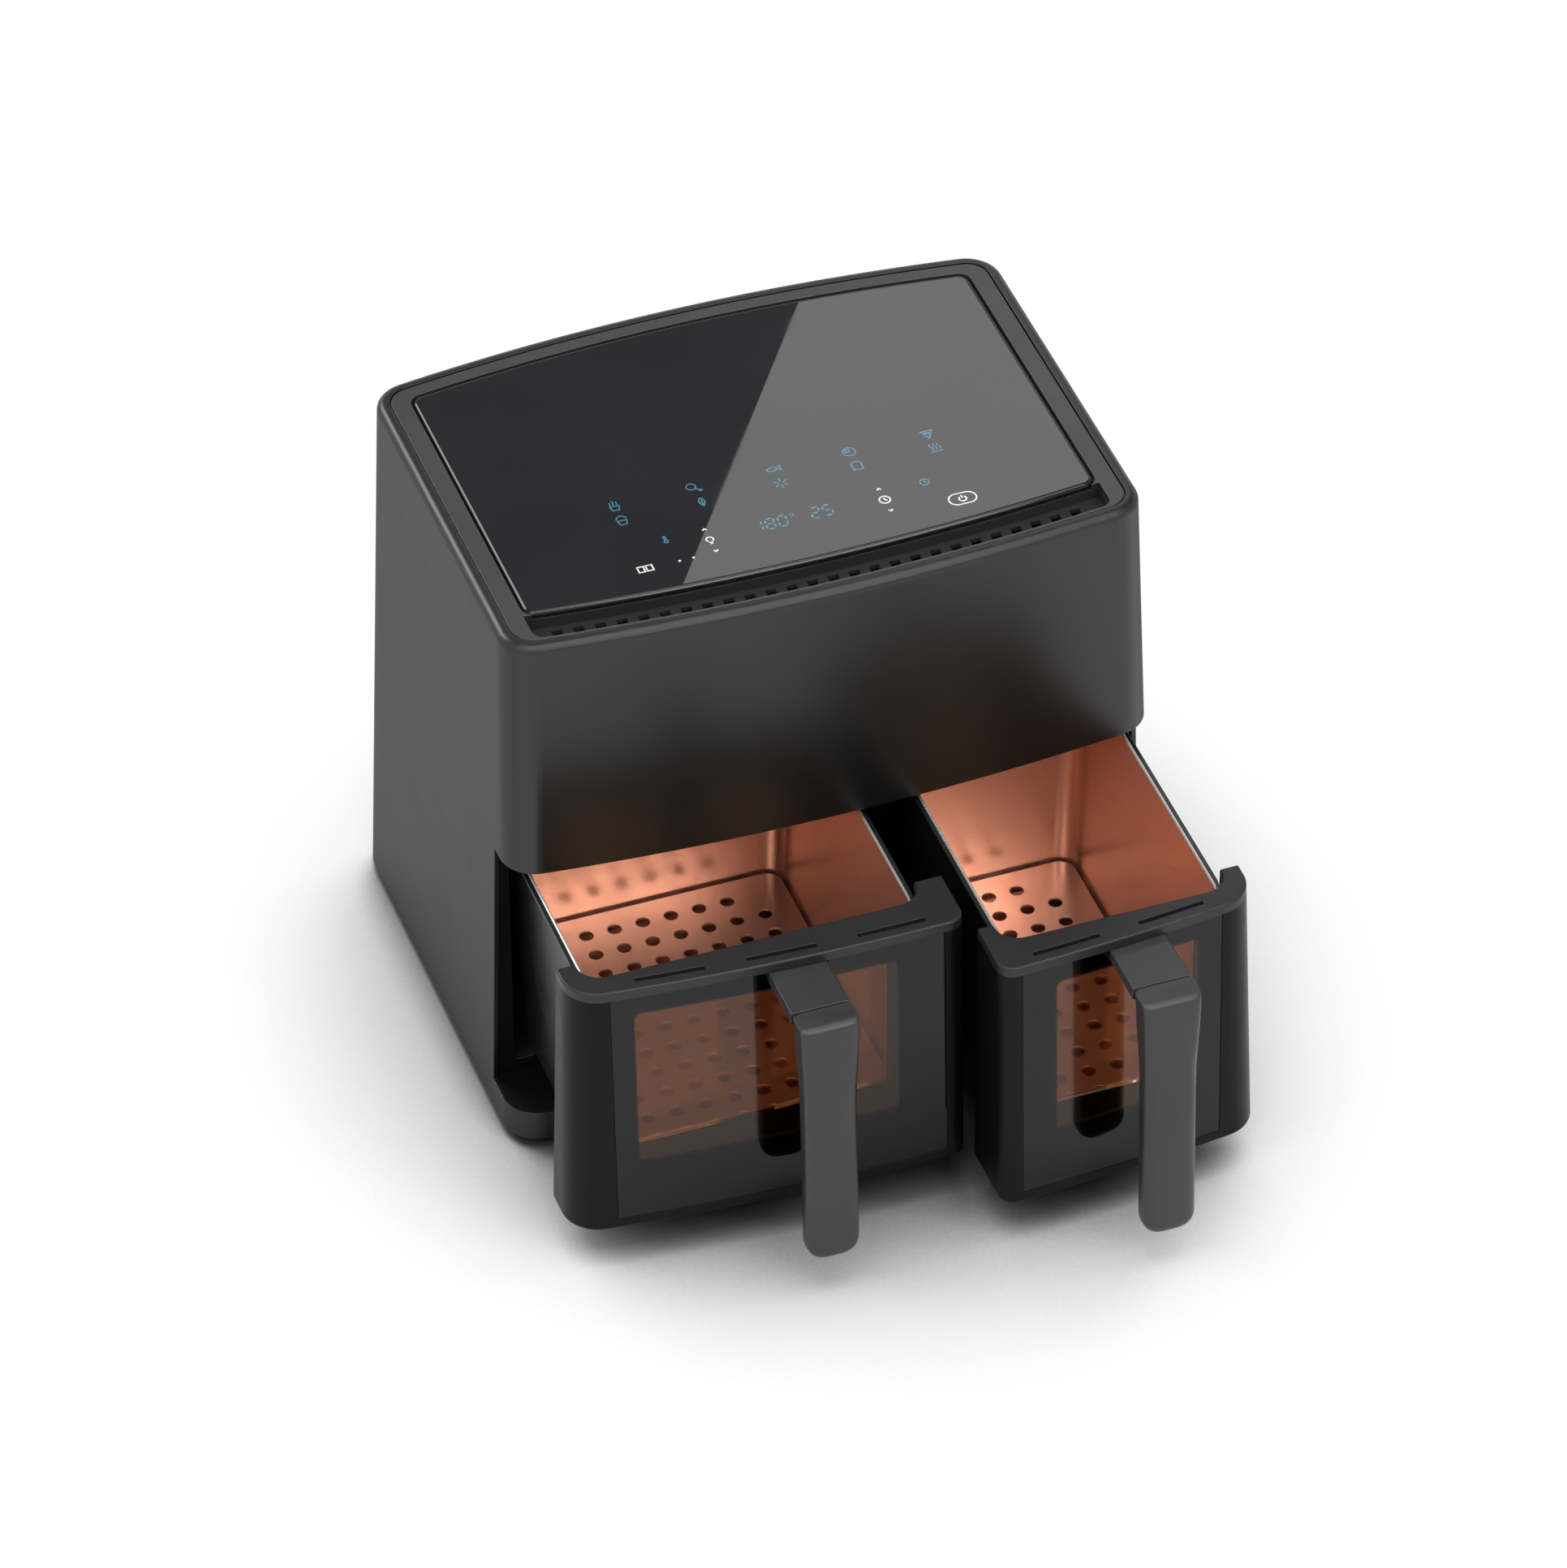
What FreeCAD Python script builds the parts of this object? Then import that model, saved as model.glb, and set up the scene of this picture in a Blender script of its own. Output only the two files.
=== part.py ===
import FreeCAD, Part
import math
import os
from dataclasses import dataclass

# Two-drawer air fryer: a drafted housing with a bowed front and back, two drawers that slide out to the
# front, a removable plate in each basket and a fan above each cavity.
# Millimetres. X runs to the right as seen from the front, Y to the back and Z up, with the floor at Z = 0.
# Every piece is built with the drawers shut; the drawers then move to the drawn-out place they rest in.

Vec = FreeCAD.Vector

# Clearances
FIT = 0.3
SHAFT_CLEARANCE = 0.05
SCREW_CLEARANCE = 0.1
RUN_GAP = 0.3
DRAWER_GAP = 1.5

# Housing, measured at its lower edge
WIDTH = 390.0
CHORD_DEPTH = 276.5
FRONT_BOW = 10.3
BACK_BOW = 13.4
CORNER_R = 21.0
MIN_CORNER_R = 2.0
SIDE_DRAFT_DEG = 1.7
FRONT_DRAFT_DEG = 2.6
FOOT_H = 6.0
TOP_Z = 350.5
WALL = 2.8
RIM_W = 7.0
RIM_T = 4.0
RIM_FILLET = 5.0
FOOT_FILLET = 1.5

# Base pan, feet and their screws
BASE_RECESS = 1.0
BASE_T = 3.0
FLANGE_T = 3.0
FLANGE_W = 14.0
FOOT_R = 12.0
FOOT_STEM_R = 4.0
FOOT_INSET_X = 46.0
FOOT_INSET_Y = 40.0
SCREW_R = 1.75
SCREW_HEAD_R = 3.6
SCREW_HEAD_H = 2.2
BASE_SLOT_COUNT = 9
BASE_SLOT_PITCH = 12.0
BASE_SLOT_W = 4.0
BASE_SLOT_L = 60.0

# Drawer levels
SILL_H = 19.5
FRONT_H = 162.0
CAP_T = 6.0
BASKET_LIFT = 7.0
BASKET_DROP = 3.0
MOUTH_GAP = 4.0
HEATER_ROOM = 45.0

# Drawer front, from the outside in
FRONT_DEPTH = 36.25
BASKET_NOTCH = 14.25
FRONT_SKIN = 6.5
FRONT_SIDE_T = 3.0
FRONT_FLOOR_T = 3.0
SPLIT_X = 35.0
SPLIT_GAP = 2.6
SPLIT_FILLET = 9.0
CAP_FILLET = 1.2
FRONT_FILLET = 2.0
CAP_SLOT_INSET = 6.0
CAP_SLOT_W = 3.0
CAP_SLOT_DEPTH = 4.0
CAP_SLOT_L = 39.5
CAP_SLOT_PITCH = 62.8
CAP_SLOT_MARGIN = 21.0
GLASS_RECESS = 0.3
PANEL_T = 3.0
PANEL_OUTER_MARGIN = 21.0
PANEL_SPLIT_MARGIN = 12.0
PANEL_FLOOR_MARGIN = 7.0
BACK_PLATE_T = 3.0
WINDOW_FLOOR = 43.0
WINDOW_HEAD = 11.0
WINDOW_R = 4.0
WINDOW_MARGIN = 18.0
SEAL_W = 4.0
MAGNET_R = 5.0
MAGNET_H = 6.0
MAGNET_BACK = 9.5
MAGNET_SIDE = 30.0

# Handle
GRIP_W = 34.0
GRIP_T = 17.0
GRIP_FRONT_R = 7.0
GRIP_END_R = 11.0
GRIP_FLOOR = 4.0
GRIP_BEVEL = 7.0
HANDLE_REACH = 52.0
ARM_T = 8.0
ARM_FILLET = 1.5
ARM_GROOVE = 1.2
TENON_W = 20.0
TENON_L = 8.0
TENON_MARGIN = 1.5
HANDLE_SCREW_SPACING = 18.0
HANDLE_SCREW_GRIP = 12.0

# Basket and crisper plate
BASKET_WALL = 1.5
BASKET_RIM_W = 2.5
BASKET_RIM_T = 2.0
BASKET_DRAFT = 5.0
BASKET_R = 12.0
BASKET_FOOT_R = 9.0
BASKET_SIDE_GAP = 3.0
BASKET_END_GAP = 8.0
PLATE_T = 1.6
PLATE_LIFT = 12.0
PLATE_GAP = 2.0
PLATE_HOLE_R = 4.0
PLATE_HOLE_PITCH = 17.0
PLATE_HOLE_MARGIN = 12.0
BUMPER_R = 7.0
BUMPER_INSET = 17.0

# Cavities and the frame in front of them
FRAME_RECESS = 3.0
FRAME_T = 3.0
SHELF_T = 2.0
LINER_T = 1.0
CAVITY_SIDE_ROOM = 3.4
BACK_ROOM = 30.25
RUNNER_H = 1.7
RUNNER_W = 10.0
RUNNER_INSET = 24.0
SENSOR_W = 14.0
SENSOR_D = 8.0
SENSOR_H = 7.0

# Heating, fans and motors
GUARD_LIFT = 8.0
GUARD_T = 1.2
GUARD_SLOT_W = 6.0
GUARD_SLOT_PITCH = 10.0
GUARD_BORDER = 12.0
HEATER_R = 3.2
HEATER_LIFT = 17.0
HEATER_INSET = 17.0
HEATER_BEND_R = 14.0
HEATER_LEG_SPACING = 44.0
HEATER_TAIL = 10.0
DECK_T = 3.0
DECK_OVERHANG = 6.0
SHAFT_R = 4.0
SHAFT_HOLE_R = 8.0
HUB_R = 9.0
HOT_FAN_R = 48.0
HOT_FAN_DROP = 20.0
HOT_BLADE_H = 12.0
COOL_FAN_R = 40.0
COOL_BLADE_H = 12.0
FAN_DISC_T = 1.2
BLADE_T = 1.5
HOT_BLADE_COUNT = 10
COOL_BLADE_COUNT = 7
MOTOR_R = 31.0
MOTOR_H = 38.0
MOTOR_FOOT_R = 36.0
MOTOR_FOOT_T = 3.0
MOTOR_NECK_R = 20.0
MOTOR_NECK_H = 6.0
MOTOR_BOSS_R = 9.0
MOTOR_BOSS_H = 4.0
FAN_STANDOFF = 3.0
PROBE_R = 7.0
PROBE_T = 6.0
PROBE_DROP = 95.0

# Exhaust ducts, rear cover and cord gland
DUCT_W = 56.0
DUCT_H = 26.0
DUCT_T = 1.5
DUCT_DROP = 36.0
REAR_SIDE = 45.0
REAR_FLOOR = 40.0
REAR_HEAD = 50.0
REAR_LEDGE_W = 9.0
REAR_LEDGE_T = 2.6
REAR_LEDGE_LAP = 0.6
VENT_W = 5.0
VENT_PITCH = 10.0
REAR_SCREW_INSET = 5.0
GLAND_R = 10.0
GLAND_FLANGE_R = 13.0
GLAND_FLANGE_T = 3.0
GLAND_DEPTH = 12.0
GLAND_BORE_R = 3.9
GLAND_INSET = 36.0

# Top frame, control glass and boards
FRAME_TOP_DROP = 0.3
PARTING_W = 1.0
PARTING_DEPTH = 1.6
TOP_FRAME_H = 14.0
GLASS_T = 4.0
GLASS_SIDE = 19.8
GLASS_FRONT = 30.0
GLASS_BACK = 17.0
GLASS_R = 7.0
GLASS_GAP = 1.2
GLASS_LEDGE = 8.0
GLASS_FILLET = 2.5
TROUGH_SIDE = 18.0
TROUGH_FRONT = 9.5
TROUGH_WEB = 3.0
TROUGH_DEPTH = 11.0
INLET_SLOT_W = 6.0
INLET_SLOT_PITCH = 12.0
BOARD_T = 1.6
BOARD_GAP = 1.0
POST_H = 10.0
POST_R = 3.5
POST_INSET = 8.0
POWER_BOARD_L = 130.0
POWER_BOARD_GAP = 12.0
CHOKE_R = 12.0
CHOKE_H = 22.0
CHOKE_SETBACK = 24.0
HEATSINK_SETBACK = 36.0
HEATSINK_T = 12.0
HEATSINK_H = 26.0

# Levels that follow from the sizes above
BASE_Z0 = FOOT_H + BASE_RECESS
BASE_Z1 = BASE_Z0 + BASE_T
FLANGE_Z1 = BASE_Z1 + FLANGE_T
SILL_Z = FOOT_H + SILL_H
FRONT_Z0 = SILL_Z + DRAWER_GAP
FRONT_Z1 = FRONT_Z0 + FRONT_H
CAP_Z1 = FRONT_Z1 + CAP_T
HEAD_Z = CAP_Z1 + DRAWER_GAP
BASKET_Z0 = FRONT_Z0 + BASKET_LIFT
BASKET_Z1 = FRONT_Z1 - BASKET_DROP
CAVITY_Z0 = BASKET_Z0 - RUN_GAP - RUNNER_H
MOUTH_Z1 = BASKET_Z1 + MOUTH_GAP
CAVITY_Z1 = MOUTH_Z1 + HEATER_ROOM
DECK_Z0 = CAVITY_Z1 + LINER_T
DECK_Z1 = DECK_Z0 + DECK_T
MOTOR_Z0 = DECK_Z1 + MOTOR_FOOT_T + MOTOR_NECK_H
MOTOR_Z1 = MOTOR_Z0 + MOTOR_H + MOTOR_BOSS_H
HOT_FAN_Z0 = CAVITY_Z1 - HOT_FAN_DROP
COOL_FAN_Z0 = MOTOR_Z1 + FAN_STANDOFF
HEATER_Z = MOUTH_Z1 + HEATER_LIFT
GUARD_Z0 = MOUTH_Z1 + GUARD_LIFT
DUCT_Z1 = CAVITY_Z1 - DUCT_DROP
DUCT_Z0 = DUCT_Z1 - DUCT_H
REAR_Z0 = FOOT_H + REAR_FLOOR
REAR_Z1 = TOP_Z - REAR_HEAD
WINDOW_Z0 = FRONT_Z0 + WINDOW_FLOOR
WINDOW_Z1 = FRONT_Z1 - WINDOW_HEAD
PLATE_Z0 = BASKET_Z0 + BASKET_WALL + PLATE_LIFT
ARM_Z1 = FRONT_Z1 - FIT
ARM_Z0 = ARM_Z1 - ARM_T
GRIP_Z0 = FRONT_Z0 - GRIP_FLOOR
GRIP_Z1 = ARM_Z1
GLASS_Z0 = TOP_Z - GLASS_T
BOARD_Z0 = GLASS_Z0 - BOARD_T
TOP_FRAME_Z0 = TOP_Z - TOP_FRAME_H

# Depths and widths that follow from the sizes above
FRONT_BACK_Y = -CHORD_DEPTH / 2 + FRONT_DEPTH
NOTCH_Y = FRONT_BACK_Y - BASKET_NOTCH
OPENING_Y = FRONT_BACK_Y + DRAWER_GAP
FRAME_Y0 = FRONT_BACK_Y + FRAME_RECESS
FRAME_Y1 = FRAME_Y0 + FRAME_T
CAVITY_Y1 = CHORD_DEPTH / 2 - BACK_ROOM
BASKET_Y0 = NOTCH_Y + BASKET_WALL
BASKET_Y1 = CAVITY_Y1 - BASKET_END_GAP - BASKET_RIM_W - BASKET_WALL
FAN_Y = (FRAME_Y1 + CAVITY_Y1) / 2
PANEL_INNER = GLASS_RECESS + PANEL_T
REAR_HALF_W = WIDTH / 2 - REAR_SIDE
FAR = 2 * WIDTH


# Housing outline

def draft(z, angle):
    """Return how far a face has leaned in at height z."""
    return (z - FOOT_H) * math.tan(math.radians(angle))


def half_width(z, inset=0.0):
    """Return the distance from the middle to a side face at height z."""
    return WIDTH / 2 - draft(z, SIDE_DRAFT_DEG) - inset


def bow_of(side):
    """Return the bow of the front (side -1) or the back (side 1)."""
    return FRONT_BOW if side < 0 else BACK_BOW


def bow_radius(side):
    """Return the radius of the front or back face in plan."""
    half_chord = WIDTH / 2 - CORNER_R
    return (half_chord ** 2 + bow_of(side) ** 2) / (2 * bow_of(side))


def bow_centre(z, side):
    """Return the Y of the centre that the front or back face is struck from at height z."""
    return side * (CHORD_DEPTH / 2 - draft(z, FRONT_DRAFT_DEG) + bow_of(side) - bow_radius(side))


def bow_y(x, z, side, inset=0.0):
    """Return the Y of the front or back face at x and z."""
    radius = bow_radius(side) - inset
    return bow_centre(z, side) + side * math.sqrt(radius ** 2 - x ** 2)


def arc(start, middle, end):
    """Return an arc edge through three points."""
    return Part.Arc(start, middle, end).toShape()


def line(start, end):
    """Return a straight edge."""
    return Part.LineSegment(start, end).toShape()


def corner(centre, start, end):
    """Return the arc edge of a rounded corner from start to end about a centre."""
    middle = (start - centre) + (end - centre)
    middle.normalize()
    return arc(start, centre + middle * (start - centre).Length, end)


def outline(z, inset=0.0, front=None, back=None, radius=None):
    """Return the plan outline at height z, inset from the sides, the front and the back."""
    insets = {-1: inset if front is None else front, 1: inset if back is None else back}
    rounding = max(CORNER_R - inset, MIN_CORNER_R) if radius is None else radius
    half = half_width(z, inset)
    centres = {}
    tangents = {}
    for side in (-1, 1):
        big = bow_radius(side) - insets[side]
        origin_y = bow_centre(z, side)
        rise = side * math.sqrt((big - rounding) ** 2 - (half - rounding) ** 2)
        share = big / (big - rounding)
        centres[side] = Vec(half - rounding, origin_y + rise, z)
        tangents[side] = Vec((half - rounding) * share, origin_y + rise * share, z)
    sides = {}
    hubs = {}
    ends = {}
    for hand in (-1, 1):
        for side in (-1, 1):
            sides[hand, side] = Vec(hand * half, centres[side].y, z)
            hubs[hand, side] = Vec(hand * centres[side].x, centres[side].y, z)
            ends[hand, side] = Vec(hand * tangents[side].x, tangents[side].y, z)
    edges = [
        line(sides[1, -1], sides[1, 1]),
        corner(hubs[1, 1], sides[1, 1], ends[1, 1]),
        arc(ends[1, 1], Vec(0, bow_y(0, z, 1, insets[1]), z), ends[-1, 1]),
        corner(hubs[-1, 1], ends[-1, 1], sides[-1, 1]),
        line(sides[-1, 1], sides[-1, -1]),
        corner(hubs[-1, -1], sides[-1, -1], ends[-1, -1]),
        arc(ends[-1, -1], Vec(0, bow_y(0, z, -1, insets[-1]), z), ends[1, -1]),
        corner(hubs[1, -1], ends[1, -1], sides[1, -1]),
    ]
    return Part.Wire(edges)


def body(z0, z1, inset=0.0, front=None, back=None, radius=None):
    """Return the drafted solid of the housing outline between two heights."""
    wires = [outline(z, inset, front, back, radius) for z in (z0, z1)]
    return Part.makeLoft(wires, True, True)


# Plain shapes

def box(x0, x1, y0, y1, z0, z1):
    """Return a box between two corners."""
    return Part.makeBox(x1 - x0, y1 - y0, z1 - z0, Vec(x0, y0, z0))


def rod(x, y, z0, z1, radius):
    """Return an upright cylinder."""
    return Part.makeCylinder(radius, z1 - z0, Vec(x, y, z0))


def rod_y(x, z, y0, y1, radius):
    """Return a cylinder along Y."""
    return Part.makeCylinder(radius, y1 - y0, Vec(x, y0, z), Vec(0, 1, 0))


def rounded_wire(points, radius):
    """Return a closed flat wire through corner points, with every corner rounded."""
    count = len(points)
    starts = []
    edges = []
    for index, point in enumerate(points):
        before = (points[index - 1] - point).normalize()
        after = (points[(index + 1) % count] - point).normalize()
        half_angle = before.getAngle(after) / 2
        trim = radius / math.tan(half_angle)
        bisector = (before + after).normalize()
        centre = point + bisector * (radius / math.sin(half_angle))
        starts.append((point + before * trim, centre, point + after * trim))
    for index, (enter, centre, leave) in enumerate(starts):
        edges.append(corner(centre, enter, leave))
        edges.append(line(leave, starts[(index + 1) % count][0]))
    return Part.Wire(edges)


def rounded_rect(x0, x1, y0, y1, z, radius):
    """Return a level rectangle with rounded corners."""
    points = [Vec(x0, y0, z), Vec(x1, y0, z), Vec(x1, y1, z), Vec(x0, y1, z)]
    return rounded_wire(points, radius)


def upright_slab(x0, x1, z0, z1, y0, y1, radius):
    """Return a slab between two Y planes whose X and Z outline has rounded corners."""
    points = [Vec(x0, y0, z0), Vec(x1, y0, z0), Vec(x1, y0, z1), Vec(x0, y0, z1)]
    return Part.Face(rounded_wire(points, radius)).extrude(Vec(0, y1 - y0, 0))


def tube(points, bend, radius):
    """Return a round bar along an open path of straight runs joined by tangent arcs."""
    edges = []
    start = points[0]
    for before, point, after in zip(points, points[1:], points[2:]):
        inward = (before - point).normalize()
        onward = (after - point).normalize()
        half_angle = inward.getAngle(onward) / 2
        trim = bend / math.tan(half_angle)
        centre = point + (inward + onward).normalize() * (bend / math.sin(half_angle))
        edges.append(line(start, point + inward * trim))
        edges.append(corner(centre, point + inward * trim, point + onward * trim))
        start = point + onward * trim
    edges.append(line(start, points[-1]))
    path = Part.Wire(edges)
    section = Part.Wire(Part.makeCircle(radius, points[0], points[1] - points[0]))
    return path.makePipeShell([section], True, False)


def solid_of(shape):
    """Return the one solid that a boolean result holds."""
    return shape.removeSplitter().Solids[0]


def edges_where(shape, test):
    """Return the edges of a shape whose every end point passes a test."""
    return [edge for edge in shape.Edges if all(test(vertex.Point) for vertex in edge.Vertexes)]


def spread(low, high, pitch):
    """Return evenly spaced places about the middle of a span."""
    count = int((high - low) // pitch)
    first = (low + high - count * pitch) / 2
    return [first + index * pitch for index in range(count + 1)]


# Left and right

@dataclass(frozen=True)
class Zone:
    """One drawer, its cavity and its fan; side is -1 for the left and 1 for the right."""

    name: str
    side: int
    still_in: float
    split_room: float
    handle_offset: float

    @property
    def slide_out(self):
        """How far the drawer rests drawn out, with its basket's end still in behind the frame's face."""
        return BASKET_Y1 - FRAME_Y0 - self.still_in

    @property
    def front_span(self):
        """X range of the drawer front, running past the housing side."""
        return sorted((SPLIT_X + self.side * SPLIT_GAP / 2, self.side * FAR))

    @property
    def split_face(self):
        """X of the drawer front's end at the split between the drawers."""
        return SPLIT_X + self.side * SPLIT_GAP / 2

    @property
    def panel_span(self):
        """X range of the front glass."""
        outer = self.side * (half_width(FRONT_Z1) - PANEL_OUTER_MARGIN)
        return sorted((self.split_face + self.side * PANEL_SPLIT_MARGIN, outer))

    @property
    def cavity_span(self):
        """X range inside the cavity liner."""
        outer = self.side * (half_width(DECK_Z0, WALL) - CAVITY_SIDE_ROOM - LINER_T)
        return sorted((SPLIT_X + self.side * (self.split_room + LINER_T), outer))

    @property
    def basket_span(self):
        """X range inside the basket's rim."""
        room = BASKET_SIDE_GAP + BASKET_RIM_W + BASKET_WALL
        low, high = self.cavity_span
        return low + room, high - room

    @property
    def window_span(self):
        """X range of the window."""
        low, high = self.basket_span
        return low + WINDOW_MARGIN, high - WINDOW_MARGIN

    @property
    def centre_x(self):
        """Middle of the cavity."""
        return sum(self.cavity_span) / 2

    @property
    def handle_x(self):
        """Middle of the handle."""
        return (self.split_face + self.side * WIDTH / 2) / 2 + self.handle_offset

    def grip_front(self, z):
        """Return the Y of the grip's front at height z, drawer shut."""
        return bow_y(self.handle_x, z, -1) - HANDLE_REACH


LEFT = Zone("left", -1, still_in=92.0, split_room=14.0, handle_offset=17.5)
RIGHT = Zone("right", 1, still_in=44.0, split_room=7.0, handle_offset=1.5)
ZONES = (LEFT, RIGHT)


# Housing shells

def rear_region(grow, y0=0.0):
    """Return a box over the rear cover's place, grown on its four sides."""
    return box(-REAR_HALF_W - grow, REAR_HALF_W + grow, y0, FAR, REAR_Z0 - grow, REAR_Z1 + grow)


def outer_shell():
    """Return the housing shell with its top rim, bottom flange, front opening and rear ledge."""
    shell = body(FOOT_H, TOP_Z)
    rim = edges_where(shell, lambda point: abs(point.z - TOP_Z) < FIT)
    foot = edges_where(shell, lambda point: abs(point.z - FOOT_H) < FIT)
    shell = shell.makeFillet(RIM_FILLET, rim).makeFillet(FOOT_FILLET, foot)
    shell = shell.cut(body(FOOT_H - FIT, BASE_Z1, WALL))
    shell = shell.cut(body(BASE_Z1 - FIT, FLANGE_Z1 + FIT, WALL + FLANGE_W))
    shell = shell.cut(body(FLANGE_Z1, TOP_Z - RIM_T, WALL))
    shell = shell.cut(body(TOP_Z - RIM_T - FIT, TOP_Z + FIT, RIM_W))
    shell = shell.cut(box(-FAR, FAR, -FAR, OPENING_Y, SILL_Z, HEAD_Z))
    z0 = REAR_Z0 - 2 * REAR_LEDGE_W
    z1 = REAR_Z1 + 2 * REAR_LEDGE_W
    ledge = body(z0, z1, WALL - REAR_LEDGE_LAP).cut(body(z0, z1, WALL + REAR_LEDGE_T))
    shell = shell.fuse(ledge.common(rear_region(REAR_LEDGE_W)))
    pocket = body(z0, z1, -WALL).cut(body(z0, z1, WALL + FIT))
    shell = shell.cut(pocket.common(rear_region(0)))
    shell = shell.cut(rear_region(-REAR_LEDGE_W))
    for x, y in base_screw_places():
        shell = shell.cut(rod(x, y, BASE_Z1 - FIT, FLANGE_Z1 + FIT, SCREW_R + SCREW_CLEARANCE))
    for x, z in rear_screw_places():
        shell = shell.cut(rod_y(x, z, 0, FAR, SCREW_R + SCREW_CLEARANCE))
    return solid_of(shell)


def rear_screw_places():
    """Return the X and Z of the rear cover's screws."""
    x = REAR_HALF_W - REAR_SCREW_INSET
    levels = (REAR_Z0 + REAR_SCREW_INSET, REAR_Z1 - REAR_SCREW_INSET)
    return [(side * x, z) for side in (-1, 1) for z in levels]


def gland_place():
    """Return the X and Z of the cord gland."""
    return REAR_HALF_W - GLAND_INSET, REAR_Z0 + GLAND_INSET


def rear_cover():
    """Return the rear cover with a group of vent slots behind each duct."""
    z0 = REAR_Z0 - REAR_LEDGE_W
    z1 = REAR_Z1 + REAR_LEDGE_W
    cover = body(z0, z1).cut(body(z0, z1, WALL)).common(rear_region(-FIT))
    for zone in ZONES:
        half = DUCT_W / 2 - DUCT_T - VENT_W / 2
        for x in spread(duct_x(zone) - half, duct_x(zone) + half, VENT_PITCH):
            slot = upright_slab(x - VENT_W / 2, x + VENT_W / 2, DUCT_Z0 + DUCT_T, DUCT_Z1 - DUCT_T, 0, FAR,
                                VENT_W / 2 - FIT)
            cover = cover.cut(slot)
    for x, z in rear_screw_places():
        cover = cover.cut(rod_y(x, z, 0, FAR, SCREW_R + SCREW_CLEARANCE))
    x, z = gland_place()
    cover = cover.cut(rod_y(x, z, 0, FAR, GLAND_R + SCREW_CLEARANCE))
    return solid_of(cover)


def rear_screws():
    """Return the rear cover's screws, with heads on the cover and shanks in the ledge."""
    screws = []
    for x, z in rear_screw_places():
        seat = bow_y(abs(x) - SCREW_HEAD_R, z - SCREW_HEAD_R, 1) + SCREW_CLEARANCE
        tip = bow_y(x, z, 1, WALL + REAR_LEDGE_T)
        head = rod_y(x, z, seat, seat + SCREW_HEAD_H, SCREW_HEAD_R)
        screws.append(head.fuse(rod_y(x, z, tip, seat + SCREW_HEAD_H / 2, SCREW_R)).removeSplitter())
    return Part.makeCompound(screws)


def cord_gland():
    """Return the bush that a mains cord passes through."""
    x, z = gland_place()
    seat = bow_y(x - GLAND_FLANGE_R, z - GLAND_FLANGE_R, 1) + SCREW_CLEARANCE
    bush = rod_y(x, z, seat - GLAND_DEPTH, seat + GLAND_FLANGE_T / 2, GLAND_R)
    bush = bush.fuse(rod_y(x, z, seat, seat + GLAND_FLANGE_T, GLAND_FLANGE_R))
    return solid_of(bush.cut(rod_y(x, z, seat - FAR, seat + FAR, GLAND_BORE_R)))


# Base

def foot_places():
    """Return the X and Y of the four feet."""
    x = WIDTH / 2 - FOOT_INSET_X
    y = CHORD_DEPTH / 2 - FOOT_INSET_Y
    return [(hand * x, side * y) for hand in (-1, 1) for side in (-1, 1)]


def base_screw_places():
    """Return the X and Y of the base pan's screws, in the middle of the shell's flange."""
    inset = WALL + FLANGE_W / 2
    x = half_width(BASE_Z1, inset)
    places = [(hand * x, side * CHORD_DEPTH / 4) for hand in (-1, 1) for side in (-1, 1)]
    return places + [(0, bow_y(0, BASE_Z1, side, inset)) for side in (-1, 1)]


def base_pan():
    """Return the base pan with its inlet slots."""
    pan = body(BASE_Z0, BASE_Z1, WALL + FIT)
    for x, y in foot_places():
        pan = pan.cut(rod(x, y, 0, BASE_Z1 + FIT, FOOT_STEM_R + SHAFT_CLEARANCE))
    for x, y in base_screw_places():
        pan = pan.cut(rod(x, y, 0, BASE_Z1 + FIT, SCREW_R + SCREW_CLEARANCE))
    half = BASE_SLOT_L / 2
    for index in range(BASE_SLOT_COUNT):
        x0 = (index - (BASE_SLOT_COUNT - 1) / 2) * BASE_SLOT_PITCH - BASE_SLOT_W / 2
        pan = pan.cut(box(x0, x0 + BASE_SLOT_W, -half, half, 0, BASE_Z1 + FIT))
    return solid_of(pan)


def rubber_feet():
    """Return four feet, each a pad with a stem in the base pan."""
    feet = []
    for x, y in foot_places():
        foot = rod(x, y, 0, BASE_Z0, FOOT_R).fuse(rod(x, y, BASE_Z0 - FIT, BASE_Z1, FOOT_STEM_R))
        feet.append(solid_of(foot))
    return Part.makeCompound(feet)


def base_screws():
    """Return the screws that hold the base pan to the shell's flange."""
    screws = []
    for x, y in base_screw_places():
        head = rod(x, y, BASE_Z0 - SCREW_HEAD_H, BASE_Z0, SCREW_HEAD_R)
        screws.append(solid_of(head.fuse(rod(x, y, BASE_Z0 - FIT, FLANGE_Z1, SCREW_R))))
    return Part.makeCompound(screws)


# Front frame, deck and cavities

def front_frame():
    """Return the frame behind the drawer fronts, with a shelf below and above them and two mouths."""
    frame = body(SILL_Z - SHELF_T, HEAD_Z + SHELF_T, WALL + FIT)
    frame = frame.common(box(-FAR, FAR, -FAR, FRAME_Y1, 0, TOP_Z))
    frame = frame.cut(box(-FAR, FAR, -FAR, FRAME_Y0, SILL_Z, HEAD_Z))
    for zone in ZONES:
        frame = frame.cut(box(*zone.cavity_span, -FAR, FAR, CAVITY_Z0, MOUTH_Z1))
    return solid_of(frame)


def sensor_y():
    """Return the Y of the drawer sensors and of the magnets below them, drawers shut."""
    return NOTCH_Y - MAGNET_BACK


def sensor_x(zone):
    """Return the X of a drawer's sensor and magnet."""
    return zone.split_face + zone.side * MAGNET_SIDE


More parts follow.
